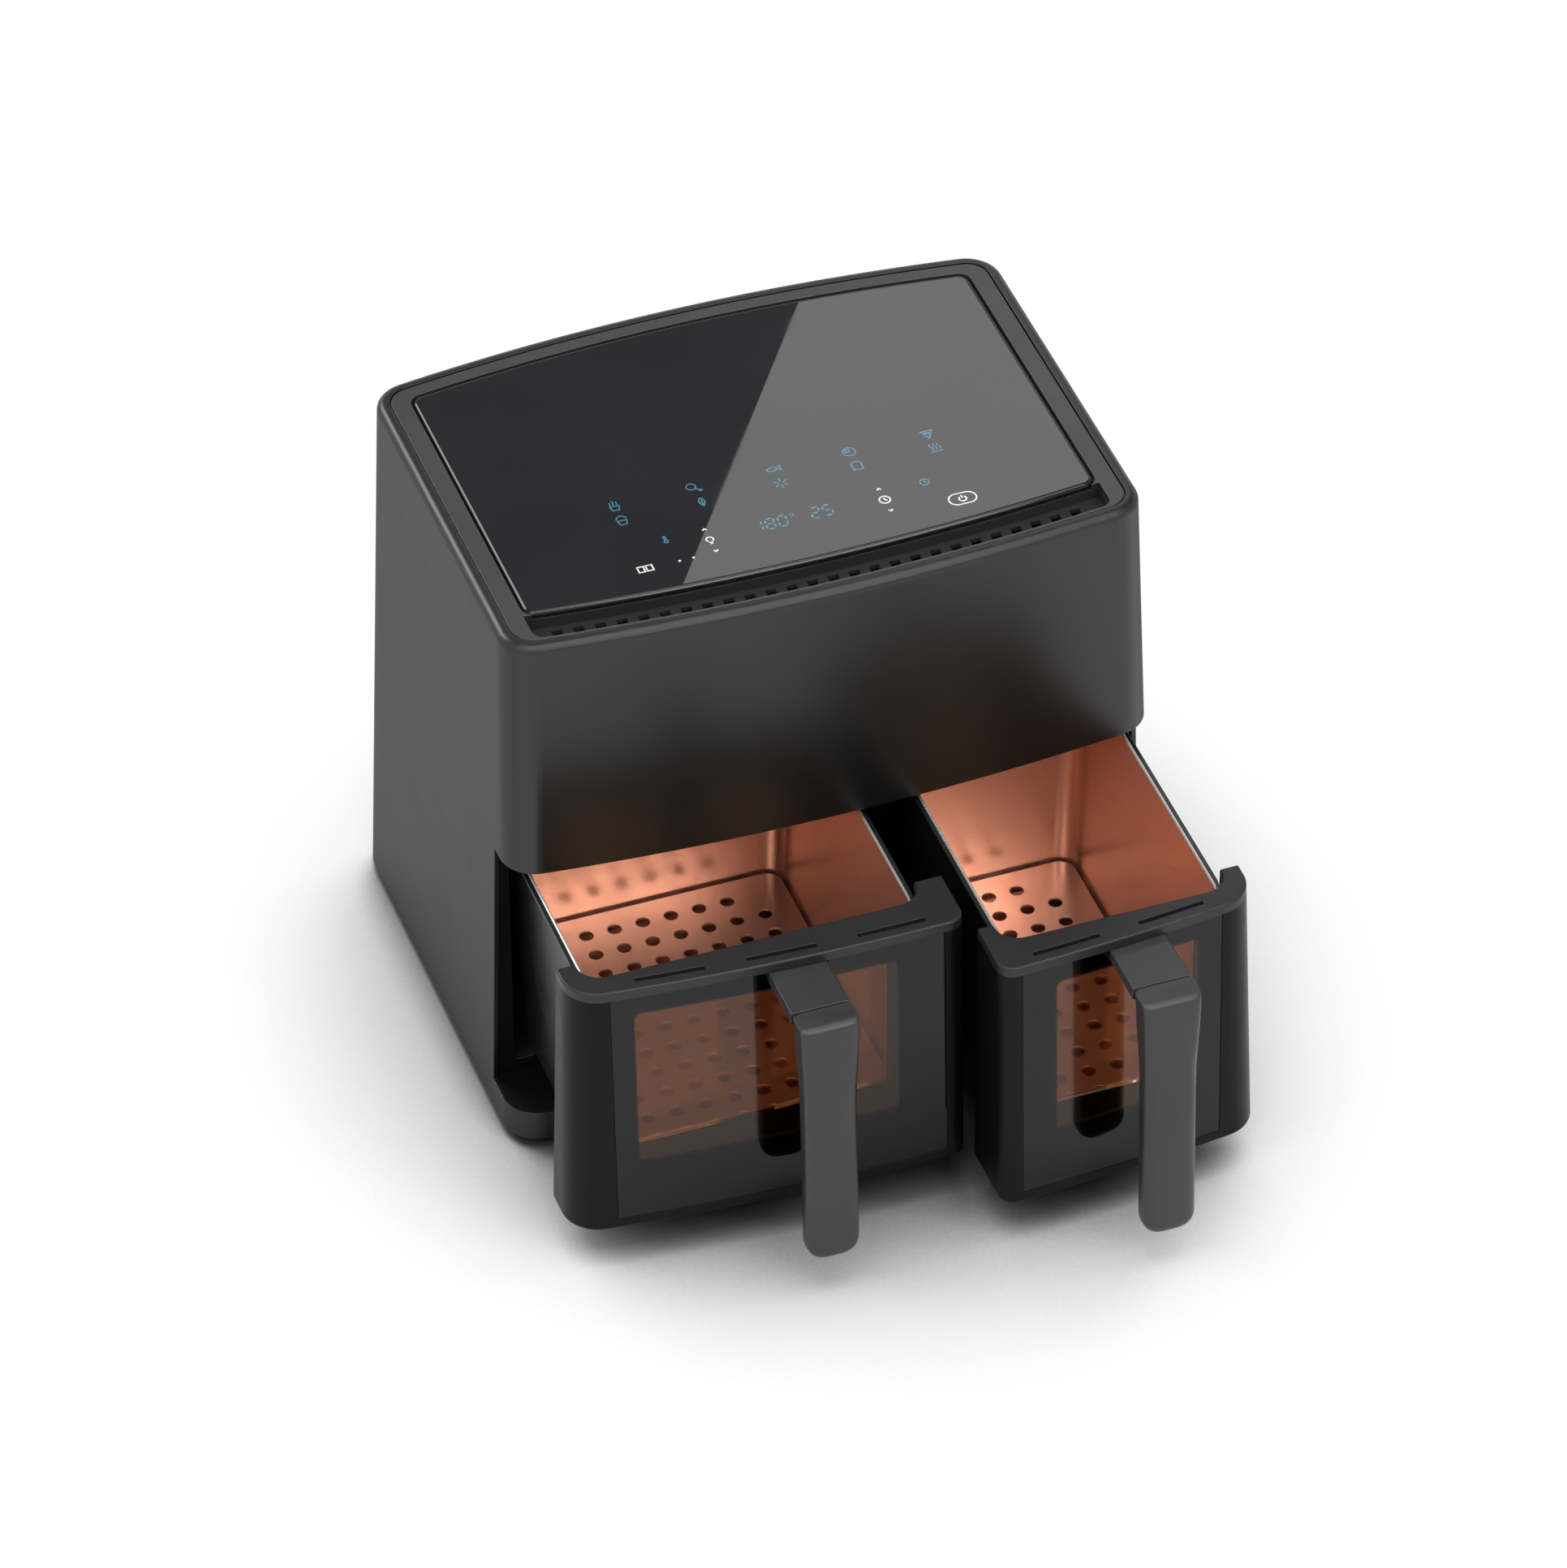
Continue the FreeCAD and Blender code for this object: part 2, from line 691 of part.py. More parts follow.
def drawer_sensors():
    """Return the two drawer sensors on the frame's upper shelf."""
    z0 = HEAD_Z + SHELF_T
    y0 = sensor_y() - SENSOR_D / 2
    cases = []
    for zone in ZONES:
        x0 = sensor_x(zone) - SENSOR_W / 2
        cases.append(box(x0, x0 + SENSOR_W, y0, y0 + SENSOR_D, z0, z0 + SENSOR_H))
    return Part.makeCompound(cases)


def deck():
    """Return the deck over the cavities that carries the motors and the power board."""
    plate = body(DECK_Z0, DECK_Z1, WALL + FIT)
    plate = plate.common(box(-FAR, FAR, FRAME_Y1, CAVITY_Y1 + DECK_OVERHANG, 0, TOP_Z))
    for zone in ZONES:
        plate = plate.cut(rod(zone.centre_x, FAN_Y, 0, TOP_Z, SHAFT_HOLE_R))
    return solid_of(plate)


def heater_legs(zone):
    """Return the X of a heater's two legs."""
    return zone.centre_x - HEATER_LEG_SPACING / 2, zone.centre_x + HEATER_LEG_SPACING / 2


def cavity(zone):
    """Return a cavity liner, open at its mouth, with holes for the shaft, the heater and the exhaust."""
    low, high = zone.cavity_span
    y1 = CAVITY_Y1 + LINER_T
    liner = box(low - LINER_T, high + LINER_T, FRAME_Y1, y1, CAVITY_Z0 - LINER_T, DECK_Z0)
    liner = liner.cut(box(low, high, FRAME_Y1 + LINER_T, CAVITY_Y1, CAVITY_Z0, CAVITY_Z1))
    liner = liner.cut(box(low, high, -FAR, FRAME_Y1 + 2 * LINER_T, CAVITY_Z0, MOUTH_Z1))
    liner = liner.cut(rod(zone.centre_x, FAN_Y, CAVITY_Z1 - FIT, TOP_Z, SHAFT_HOLE_R))
    for x in heater_legs(zone):
        liner = liner.cut(rod_y(x, HEATER_Z, CAVITY_Y1 - FIT, FAR, HEATER_R + SCREW_CLEARANCE))
    return solid_of(liner.cut(duct_bore(zone, CAVITY_Y1 - FIT)))


def runners(zone):
    """Return the two floor strips that a basket slides on."""
    low, high = zone.cavity_span
    z1 = CAVITY_Z0 + RUNNER_H
    half = RUNNER_W / 2
    strips = []
    for x in (low + RUNNER_INSET, high - RUNNER_INSET):
        strips.append(box(x - half, x + half, FRAME_Y1, CAVITY_Y1, CAVITY_Z0, z1))
    return Part.makeCompound(strips)


def duct_x(zone):
    """Return the X of a duct's middle, behind its cavity and clear of the shell's rear ledge."""
    limit = REAR_HALF_W - REAR_LEDGE_W - DUCT_W / 2 - FIT
    return max(-limit, min(limit, zone.centre_x))


def duct_bore(zone, y0):
    """Return the air way of a duct from a Y plane to past the back."""
    half = DUCT_W / 2 - DUCT_T
    return box(duct_x(zone) - half, duct_x(zone) + half, y0, FAR, DUCT_Z0 + DUCT_T, DUCT_Z1 - DUCT_T)


def exhaust_duct(zone):
    """Return the duct from a cavity's back to the rear cover."""
    half = DUCT_W / 2
    y0 = CAVITY_Y1 + LINER_T
    duct = box(duct_x(zone) - half, duct_x(zone) + half, y0, FAR, DUCT_Z0, DUCT_Z1)
    duct = duct.cut(duct_bore(zone, 0))
    inside = body(DUCT_Z0 - DUCT_H, DUCT_Z1 + DUCT_H, WALL + FIT)
    return solid_of(duct.common(inside))


def temperature_sensors():
    """Return the sensor behind each cavity."""
    y0 = CAVITY_Y1 + LINER_T
    z = CAVITY_Z1 - PROBE_DROP
    return Part.makeCompound([rod_y(zone.centre_x, z, y0, y0 + PROBE_T, PROBE_R) for zone in ZONES])


# Heating and fans

def heater(zone):
    """Return the heating element, a loop of tube with two legs through the liner's back."""
    low, high = zone.cavity_span
    x0 = low + HEATER_INSET
    x1 = high - HEATER_INSET
    y0 = FRAME_Y1 + HEATER_INSET
    y1 = CAVITY_Y1 - HEATER_INSET
    leg0, leg1 = heater_legs(zone)
    end = CAVITY_Y1 + HEATER_TAIL
    plan = [(leg0, end), (leg0, y1), (x0, y1), (x0, y0), (x1, y0), (x1, y1), (leg1, y1), (leg1, end)]
    return tube([Vec(x, y, HEATER_Z) for x, y in plan], HEATER_BEND_R, HEATER_R)


def heater_guard(zone):
    """Return the slotted guard under the heating element."""
    low, high = zone.cavity_span
    y0 = FRAME_Y1 + LINER_T + FIT
    y1 = CAVITY_Y1 - FIT
    z1 = GUARD_Z0 + GUARD_T
    guard = box(low + FIT, high - FIT, y0, y1, GUARD_Z0, z1)
    slots = []
    for y in spread(y0 + GUARD_BORDER, y1 - GUARD_BORDER, GUARD_SLOT_PITCH):
        for x0, x1 in ((low + GUARD_BORDER, zone.centre_x - GUARD_SLOT_W),
                       (zone.centre_x + GUARD_SLOT_W, high - GUARD_BORDER)):
            slots.append(box(x0, x1, y - GUARD_SLOT_W / 2, y + GUARD_SLOT_W / 2, 0, TOP_Z))
    return solid_of(guard.cut(slots))


def motor(zone):
    """Return a fan motor that stands on the deck."""
    x = zone.centre_x
    case = rod(x, FAN_Y, DECK_Z1, DECK_Z1 + MOTOR_FOOT_T, MOTOR_FOOT_R)
    case = case.fuse(rod(x, FAN_Y, DECK_Z1, MOTOR_Z0 + FIT, MOTOR_NECK_R))
    case = case.fuse(rod(x, FAN_Y, MOTOR_Z0, MOTOR_Z0 + MOTOR_H, MOTOR_R))
    case = case.fuse(rod(x, FAN_Y, MOTOR_Z0, MOTOR_Z1, MOTOR_BOSS_R))
    return solid_of(case.cut(rod(x, FAN_Y, 0, TOP_Z, SHAFT_R + SHAFT_CLEARANCE)))


def motor_shaft(zone):
    """Return the shaft that carries both fans of a zone."""
    z1 = COOL_FAN_Z0 + COOL_BLADE_H + FAN_STANDOFF
    return rod(zone.centre_x, FAN_Y, HOT_FAN_Z0 - FAN_STANDOFF, z1, SHAFT_R)


def fan(zone, z0, height, radius, count):
    """Return a fan wheel: a hub and a disc with radial blades."""
    x = zone.centre_x
    wheel = rod(x, FAN_Y, z0, z0 + height, HUB_R)
    wheel = wheel.fuse(rod(x, FAN_Y, z0 + height - FAN_DISC_T, z0 + height, radius))
    for index in range(count):
        blade = box(x + HUB_R / 2, x + radius, FAN_Y - BLADE_T / 2, FAN_Y + BLADE_T / 2, z0, z0 + height)
        blade.rotate(Vec(x, FAN_Y, 0), Vec(0, 0, 1), index * 360.0 / count)
        wheel = wheel.fuse(blade)
    return solid_of(wheel.cut(rod(x, FAN_Y, 0, TOP_Z, SHAFT_R + SHAFT_CLEARANCE)))


# Top

def glass_wire_insets(grow):
    """Return the insets of the control glass outline, grown all round."""
    return {"inset": GLASS_SIDE - grow, "front": GLASS_FRONT - grow, "back": GLASS_BACK - grow,
            "radius": max(GLASS_R + grow, MIN_CORNER_R)}


def top_prism(z0, z1, **insets):
    """Return an upright prism of the housing's top outline between two heights."""
    face = Part.Face(outline(TOP_Z, **insets))
    face.translate(Vec(0, 0, z0 - TOP_Z))
    return face.extrude(Vec(0, 0, z1 - z0))


def top_frame():
    """Return the frame round the control glass, with the air inlet trough at its front."""
    z1 = TOP_Z - FRAME_TOP_DROP
    frame = top_prism(TOP_FRAME_Z0, z1 - PARTING_DEPTH, inset=RIM_W + FIT)
    frame = frame.fuse(top_prism(TOP_FRAME_Z0, z1, inset=RIM_W + PARTING_W))
    frame = frame.fuse(body(TOP_FRAME_Z0, TOP_Z - RIM_T, WALL + FIT))
    frame = frame.cut(top_prism(GLASS_Z0, TOP_Z + FIT, **glass_wire_insets(GLASS_GAP)))
    frame = frame.cut(top_prism(TOP_FRAME_Z0 - FIT, TOP_Z, **glass_wire_insets(-GLASS_LEDGE)))
    web = GLASS_FRONT - GLASS_GAP / 2
    trough_z0 = TOP_Z - TROUGH_DEPTH
    trough = top_prism(trough_z0, TOP_Z + FIT, inset=TROUGH_SIDE, front=TROUGH_FRONT, radius=GLASS_R)
    trough = trough.cut(top_prism(trough_z0 - FIT, TOP_Z + 2 * FIT, inset=RIM_W, front=web))
    trough = trough.common(box(-FAR, FAR, -FAR, 0, 0, FAR))
    frame = frame.cut(trough)
    reach = half_width(TOP_Z) - TROUGH_SIDE - INLET_SLOT_PITCH
    for x in spread(-reach, reach, INLET_SLOT_PITCH):
        y0 = bow_y(x, TOP_Z, -1, TROUGH_FRONT) + TROUGH_WEB
        y1 = bow_y(x, TOP_Z, -1, web) - TROUGH_WEB
        frame = frame.cut(box(x - INLET_SLOT_W / 2, x + INLET_SLOT_W / 2, y0, y1, 0, trough_z0 + FIT))
    return solid_of(frame)


def control_glass():
    """Return the control glass with a polished upper edge."""
    glass = top_prism(GLASS_Z0, TOP_Z, **glass_wire_insets(0))
    rim = edges_where(glass, lambda point: abs(point.z - TOP_Z) < FIT)
    return glass.makeFillet(GLASS_FILLET, rim)


def touch_board():
    """Return the touch board under the control glass."""
    return top_prism(BOARD_Z0, GLASS_Z0, **glass_wire_insets(-GLASS_LEDGE - BOARD_GAP))


def power_board():
    """Return the power board on its posts between the motors."""
    x0 = LEFT.centre_x + MOTOR_FOOT_R + POWER_BOARD_GAP
    x1 = RIGHT.centre_x - MOTOR_FOOT_R - POWER_BOARD_GAP
    y0 = FAN_Y - POWER_BOARD_L / 2
    y1 = FAN_Y + POWER_BOARD_L / 2
    z0 = DECK_Z1 + POST_H
    z1 = z0 + BOARD_T
    board = box(x0, x1, y0, y1, z0, z1)
    for x in (x0 + POST_INSET, x1 - POST_INSET):
        for y in (y0 + POST_INSET, y1 - POST_INSET):
            board = board.fuse(rod(x, y, DECK_Z1, z1, POST_R))
    board = board.fuse(rod((x0 + x1) / 2, FAN_Y + CHOKE_SETBACK, z0, z1 + CHOKE_H, CHOKE_R))
    sink_y = FAN_Y - HEATSINK_SETBACK
    sink = box(x0 + 2 * POST_INSET, x1 - 2 * POST_INSET, sink_y, sink_y + HEATSINK_T, z0, z1 + HEATSINK_H)
    return solid_of(board.fuse(sink))


# Drawers

def front_block(zone, z0, z1, inset=0.0):
    """Return a slice of the housing front that belongs to one drawer."""
    low, high = zone.front_span
    return body(z0, z1, inset).common(box(low, high, -FAR, FRONT_BACK_Y, 0, TOP_Z))


def soften_split(zone, block):
    """Return a front slice with its upright edge at the split rounded."""
    def at_split(point):
        return abs(point.x - zone.split_face) < FIT and point.y < FRONT_BACK_Y - SPLIT_FILLET
    upright = [edge for edge in edges_where(block, at_split) if edge.BoundBox.ZLength > CAP_T / 2]
    return block.makeFillet(SPLIT_FILLET, upright)


def front_hollow(zone, grow=0.0):
    """Return the hollow inside a drawer front, shrunk all round by a clearance."""
    low, high = zone.front_span
    wall = FRONT_SIDE_T + grow
    hollow = body(FRONT_Z0 + FRONT_FLOOR_T + grow, FRONT_Z1 + FIT, FRONT_SKIN + grow)
    return hollow.common(box(low + wall, high - wall, -FAR, FAR, 0, TOP_Z))


def basket_room(zone):
    """Return the notch that a basket's front takes in the back of its drawer front, above the floor."""
    low, high = zone.basket_span
    edge = BASKET_WALL + BASKET_RIM_W + FIT
    z0 = FRONT_Z0 + FRONT_FLOOR_T
    plan = rounded_rect(low - edge, high + edge, NOTCH_Y, BASKET_Y1, z0, BASKET_R + BASKET_WALL)
    return Part.Face(plan).extrude(Vec(0, 0, CAP_Z1 + FIT - z0))


def panel_layer(zone, outer, inner, clearance, z1):
    """Return the layer of a drawer's front between two insets that its glass lies in."""
    low, high = zone.panel_span
    z0 = FRONT_Z0 + PANEL_FLOOR_MARGIN + clearance
    below = FRONT_Z0 - CAP_T
    above = FRONT_Z1 + CAP_T
    layer = body(below, above, outer).cut(body(below, above, inner))
    return layer.common(box(low + clearance, high - clearance, -FAR, FRONT_BACK_Y, z0, z1))


def handle_screw_places(zone):
    """Return the X of the two screws in a handle arm."""
    return [zone.handle_x + side * HANDLE_SCREW_SPACING / 2 for side in (-1, 1)]


def arm_room(zone, clearance):
    """Return the space that a handle arm takes where it passes the front glass."""
    half = GRIP_W / 2 + clearance
    z0 = ARM_Z0 - clearance
    return box(zone.handle_x - half, zone.handle_x + half, -FAR, FRONT_BACK_Y, z0, FRONT_Z1 + FIT)


def drawer_front(zone):
    """Return the drawer front: a hollow moulding with a recess for the glass and a window hole."""
    front = soften_split(zone, front_block(zone, FRONT_Z0, FRONT_Z1))
    foot = edges_where(front, lambda point: abs(point.z - FRONT_Z0) < FIT and point.y < FRONT_BACK_Y - FIT)
    front = front.makeFillet(FRONT_FILLET, foot)
    front = front.cut(front_hollow(zone))
    front = front.cut(panel_layer(zone, -WALL, PANEL_INNER + SCREW_CLEARANCE, 0.0, FRONT_Z1 + FIT))
    front = front.cut(upright_slab(*zone.window_span, WINDOW_Z0, WINDOW_Z1, -FAR, FRONT_BACK_Y, WINDOW_R))
    for x in handle_screw_places(zone):
        front = front.cut(rod_y(x, (ARM_Z0 + ARM_Z1) / 2, -FAR, FRONT_BACK_Y, SCREW_R + SCREW_CLEARANCE))
    return solid_of(front)


def front_glass(zone):
    """Return the tinted glass on a drawer front, notched for the handle arm."""
    glass = panel_layer(zone, GLASS_RECESS, PANEL_INNER, FIT, FRONT_Z1 - FIT)
    return solid_of(glass.cut(arm_room(zone, FIT)))


def drawer_cap(zone):
    """Return the cap on a drawer front, with a notch for the basket and a row of vent slots along it."""
    cap = soften_split(zone, front_block(zone, FRONT_Z1, CAP_Z1)).cut(basket_room(zone))
    rim = edges_where(cap, lambda point: abs(point.z - CAP_Z1) < FIT and point.y < FRONT_BACK_Y - FIT)
    cap = cap.makeFillet(CAP_FILLET, rim)
    slot = body(FRONT_Z1, CAP_Z1 + FIT, CAP_SLOT_INSET).cut(
        body(FRONT_Z1 - FIT, CAP_Z1 + 2 * FIT, CAP_SLOT_INSET + CAP_SLOT_W))
    room = abs(zone.side * half_width(CAP_Z1) - zone.split_face) - CAP_SLOT_MARGIN
    for index in range(int(room // CAP_SLOT_PITCH)):
        start = zone.split_face + zone.side * (CAP_SLOT_MARGIN + index * CAP_SLOT_PITCH)
        x0, x1 = sorted((start, start + zone.side * CAP_SLOT_L))
        cap = cap.cut(slot.common(box(x0, x1, -FAR, FRONT_BACK_Y, CAP_Z1 - CAP_SLOT_DEPTH, FAR)))
    return solid_of(cap)


def drawer_back(zone):
    """Return the plate that closes a drawer front's back, with a cheek on each side of the basket."""
    plate = front_hollow(zone, SCREW_CLEARANCE)
    plate = plate.common(box(-FAR, FAR, NOTCH_Y - BACK_PLATE_T, FRONT_BACK_Y, 0, FRONT_Z1))
    plate = plate.cut(basket_room(zone))
    low, high = zone.window_span
    plate = plate.cut(upright_slab(low - SEAL_W, high + SEAL_W, WINDOW_Z0 - SEAL_W, WINDOW_Z1 + SEAL_W,
                                   -FAR, FAR, WINDOW_R))
    return solid_of(plate)


def window_seal(zone):
    """Return the ring that seats the inner window glass."""
    low, high = zone.window_span
    gap = SHAFT_CLEARANCE
    ring = upright_slab(low - SEAL_W + gap, high + SEAL_W - gap, WINDOW_Z0 - SEAL_W + gap,
                        WINDOW_Z1 + SEAL_W - gap, NOTCH_Y - BACK_PLATE_T, NOTCH_Y, WINDOW_R - gap)
    return solid_of(ring.cut(upright_slab(low, high, WINDOW_Z0, WINDOW_Z1, -FAR, FAR, WINDOW_R)))


def inner_glass(zone):
    """Return the inner window glass inside its seal."""
    low, high = zone.window_span
    gap = SHAFT_CLEARANCE
    return upright_slab(low + gap, high - gap, WINDOW_Z0 + gap, WINDOW_Z1 - gap,
                        NOTCH_Y - BACK_PLATE_T, NOTCH_Y, WINDOW_R - gap)


def magnet(zone):
    """Return the magnet under a drawer's cap that its sensor feels."""
    return rod(sensor_x(zone), sensor_y(), FRONT_Z1 - MAGNET_H, FRONT_Z1, MAGNET_R)


def arm_end(zone):
    """Return the Y of a handle arm's shoulder, just behind the grip."""
    return zone.grip_front(ARM_Z0) + GRIP_T + ARM_GROOVE


def tenon(zone, clearance):
    """Return the tongue of a handle arm that enters the grip."""
    half = TENON_W / 2 + clearance
    y1 = arm_end(zone)
    y0 = y1 - ARM_GROOVE - TENON_L - clearance
    z0 = ARM_Z0 + TENON_MARGIN - clearance
    z1 = ARM_Z1 - TENON_MARGIN + clearance
    return box(zone.handle_x - half, zone.handle_x + half, y0, y1 + FIT, z0, z1)


def handle_arm(zone):
    """Return the arm between a drawer front and its grip."""
    half = GRIP_W / 2
    arm = box(zone.handle_x - half, zone.handle_x + half, arm_end(zone), FRONT_BACK_Y, ARM_Z0, ARM_Z1)
    arm = arm.makeFillet(ARM_FILLET, [edge for edge in arm.Edges if edge.BoundBox.YLength > GRIP_T])
    arm = arm.cut(body(ARM_Z0 - CAP_T, ARM_Z1 + CAP_T, PANEL_INNER))
    arm = arm.fuse(tenon(zone, 0.0))
    for x in handle_screw_places(zone):
        z = (ARM_Z0 + ARM_Z1) / 2
        seat = bow_y(x, z, -1, FRONT_SKIN)
        arm = arm.cut(rod_y(x, z, seat - HANDLE_SCREW_GRIP - FIT, FRONT_BACK_Y, SCREW_R + SCREW_CLEARANCE))
    return solid_of(arm)


def handle_grip(zone):
    """Return the grip: a bar that leans with the front, with a rounded foot and a bevel at its top."""
    x0 = zone.handle_x - GRIP_W / 2
    y0 = zone.grip_front(GRIP_Z0)
    grip = upright_slab(x0, x0 + GRIP_W, GRIP_Z0, GRIP_Z1 + GRIP_END_R, y0, y0 + GRIP_T, GRIP_END_R)
    outlines = [edges_where(grip, lambda point: abs(point.y - y) < FIT) for y in (y0, y0 + GRIP_T)]
    grip = grip.makeFillet(GRIP_FRONT_R, outlines[0] + outlines[1])
    grip.rotate(Vec(0, y0 + GRIP_FRONT_R, GRIP_Z0 + GRIP_FRONT_R), Vec(1, 0, 0), -FRONT_DRAFT_DEG)
    grip = grip.cut(box(-FAR, FAR, -FAR, FAR, GRIP_Z1, FAR))
    y1 = zone.grip_front(GRIP_Z1)
    wedge = [Vec(-FAR, y1 - GRIP_BEVEL, GRIP_Z1 - 2 * GRIP_BEVEL),
             Vec(-FAR, y1 - GRIP_BEVEL, GRIP_Z1 + GRIP_BEVEL),
             Vec(-FAR, y1 + 2 * GRIP_BEVEL, GRIP_Z1 + GRIP_BEVEL)]
    bevel = Part.Face(Part.makePolygon(wedge + wedge[:1])).extrude(Vec(2 * FAR, 0, 0))
    return solid_of(grip.cut(bevel).cut(tenon(zone, SCREW_CLEARANCE)))


def handle_screws(zone):
    """Return the two screws that hold a handle arm, with heads inside the drawer front."""
    z = (ARM_Z0 + ARM_Z1) / 2
    screws = []
    for x in handle_screw_places(zone):
        seat = max(bow_y(x + side * SCREW_HEAD_R, z + SCREW_HEAD_R, -1, FRONT_SKIN) for side in (-1, 1))
        seat += SCREW_CLEARANCE
        head = rod_y(x, z, seat, seat + SCREW_HEAD_H, SCREW_HEAD_R)
        screws.append(solid_of(head.fuse(rod_y(x, z, seat - HANDLE_SCREW_GRIP, seat + FIT, SCREW_R))))
    return Part.makeCompound(screws)


# Baskets and plates

def basket_lean(z):
    """Return how far a basket's sides have leaned in at height z, counted from its rim."""
    return BASKET_DRAFT * (BASKET_Z1 - z) / (BASKET_Z1 - BASKET_Z0)


def pan_loft(zone, z0, z1, grow):
    """Return a drafted tray shape round a basket's inside, grown all round; its front stays upright."""
    low, high = zone.basket_span
    wires = []
    for z in (z0, z1):
        lean = basket_lean(z) - grow
        y0 = BASKET_Y0 - grow
        wires.append(rounded_rect(low + lean, high - lean, y0, BASKET_Y1 - lean, z, BASKET_R + grow))
    pan = Part.makeLoft(wires, True, True)
    foot = edges_where(pan, lambda point: abs(point.z - z0) < FIT)
    return pan.makeFillet(BASKET_FOOT_R - BASKET_WALL + grow, foot)


def basket(zone):
    """Return a basket: a drafted tray with a rim and a window hole in its front wall."""
    tray = pan_loft(zone, BASKET_Z0, BASKET_Z1, BASKET_WALL)
    low, high = zone.basket_span
    edge = BASKET_WALL + BASKET_RIM_W
    flange = Part.Face(rounded_rect(low - edge, high + edge, BASKET_Y0 - BASKET_WALL / 2, BASKET_Y1 + edge,
                                    BASKET_Z1 - BASKET_RIM_T, BASKET_R + edge))
    tray = tray.fuse(flange.extrude(Vec(0, 0, BASKET_RIM_T)))
    tray = tray.cut(pan_loft(zone, BASKET_Z0 + BASKET_WALL, BASKET_Z1 + FIT, 0.0))
    tray = tray.cut(upright_slab(*zone.window_span, WINDOW_Z0, WINDOW_Z1, -FAR, FAN_Y, WINDOW_R))
    return solid_of(tray)


def plate_outline(zone):
    """Return the X and Y limits of a crisper plate."""
    lean = basket_lean(PLATE_Z0) + PLATE_GAP
    low, high = zone.basket_span
    return low + lean, high - lean, BASKET_Y0 + PLATE_GAP, BASKET_Y1 - lean


def bumper_places(zone):
    """Return the X and Y of a crisper plate's bumpers."""
    x0, x1, y0, y1 = plate_outline(zone)
    columns = (x0 + BUMPER_INSET, x1 - BUMPER_INSET)
    rows = (y0 + BUMPER_INSET, y1 - BUMPER_INSET)
    return [(x, y) for x in columns for y in rows]


def crisper_plate(zone):
    """Return the perforated plate that lies above a basket's floor."""
    x0, x1, y0, y1 = plate_outline(zone)
    wires = [rounded_rect(x0, x1, y0, y1, PLATE_Z0, BASKET_R - PLATE_GAP)]
    keep_out = BUMPER_R + PLATE_HOLE_R
    border = PLATE_HOLE_MARGIN + PLATE_HOLE_R
    for x in spread(x0 + border, x1 - border, PLATE_HOLE_PITCH):
        for y in spread(y0 + border, y1 - border, PLATE_HOLE_PITCH):
            if min(math.hypot(x - u, y - v) for u, v in bumper_places(zone)) > keep_out:
                wires.append(Part.Wire(Part.makeCircle(PLATE_HOLE_R, Vec(x, y, PLATE_Z0))))
    return Part.Face(wires, "Part::FaceMakerBullseye").extrude(Vec(0, 0, PLATE_T))


def plate_bumpers(zone):
    """Return the four bumpers between a plate and its basket's floor."""
    z0 = BASKET_Z0 + BASKET_WALL + RUN_GAP
    return Part.makeCompound([rod(x, y, z0, PLATE_Z0, BUMPER_R) for x, y in bumper_places(zone)])


# Assembly

HOUSING_PIECES = {
    "outer_shell": outer_shell,
    "rear_cover": rear_cover,
    "rear_screws": rear_screws,
    "cord_gland": cord_gland,
    "base_pan": base_pan,
    "rubber_feet": rubber_feet,
    "base_screws": base_screws,
    "front_frame": front_frame,
    "drawer_sensors": drawer_sensors,
    "deck": deck,
    "temperature_sensors": temperature_sensors,
    "top_frame": top_frame,
    "control_glass": control_glass,
    "touch_board": touch_board,
    "power_board": power_board,
}

ZONE_PIECES = {
    "cavity": cavity,
    "runners": runners,
    "exhaust_duct": exhaust_duct,
    "heater": heater,
    "heater_guard": heater_guard,
    "motor": motor,
    "motor_shaft": motor_shaft,
    "hot_fan": lambda zone: fan(zone, HOT_FAN_Z0, HOT_BLADE_H, HOT_FAN_R, HOT_BLADE_COUNT),
    "cooling_fan": lambda zone: fan(zone, COOL_FAN_Z0, COOL_BLADE_H, COOL_FAN_R, COOL_BLADE_COUNT),
}

DRAWER_PIECES = {
    "drawer_front": drawer_front,
    "front_glass": front_glass,
    "drawer_cap": drawer_cap,
    "drawer_back": drawer_back,
    "window_seal": window_seal,
    "inner_glass": inner_glass,
    "magnet": magnet,
    "handle_arm": handle_arm,
    "handle_grip": handle_grip,
    "handle_screws": handle_screws,
    "basket": basket,
    "crisper_plate": crisper_plate,
    "plate_bumpers": plate_bumpers,
}


def origin_y():
    """Return the Y of the middle of the whole object at rest, where the part's origin goes."""
    front = min(zone.grip_front(GRIP_Z0) - zone.slide_out for zone in ZONES)
    back = bow_y(0, FOOT_H, 1)
    return (front + back) / 2


def main():
    """Build every piece, move it to the part's origin and write it out."""
    pieces = {name: make() for name, make in HOUSING_PIECES.items()}
    for zone in ZONES:
        for name, make in ZONE_PIECES.items():
            pieces[f"{zone.name}_{name}"] = make(zone)
        for name, make in DRAWER_PIECES.items():
            piece = make(zone)
            piece.translate(Vec(0, -zone.slide_out, 0))
            pieces[f"{zone.name}_{name}"] = piece
    os.makedirs("parts", exist_ok=True)
    for name, piece in pieces.items():
        piece.translate(Vec(0, -origin_y(), 0))
        piece.exportStep(os.path.join("parts", f"{name}.step"))
        print(name, len(piece.Solids), round(piece.Volume), piece.isValid())
    print("origin moved by", round(-origin_y(), 3))


main()
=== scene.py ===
# Looks of a two-drawer air fryer: finishes, lit marks, rolled rims, crowned grips, studio and camera.
import logging
import math
from dataclasses import dataclass
from enum import Enum
from typing import Callable, Iterable, Sequence

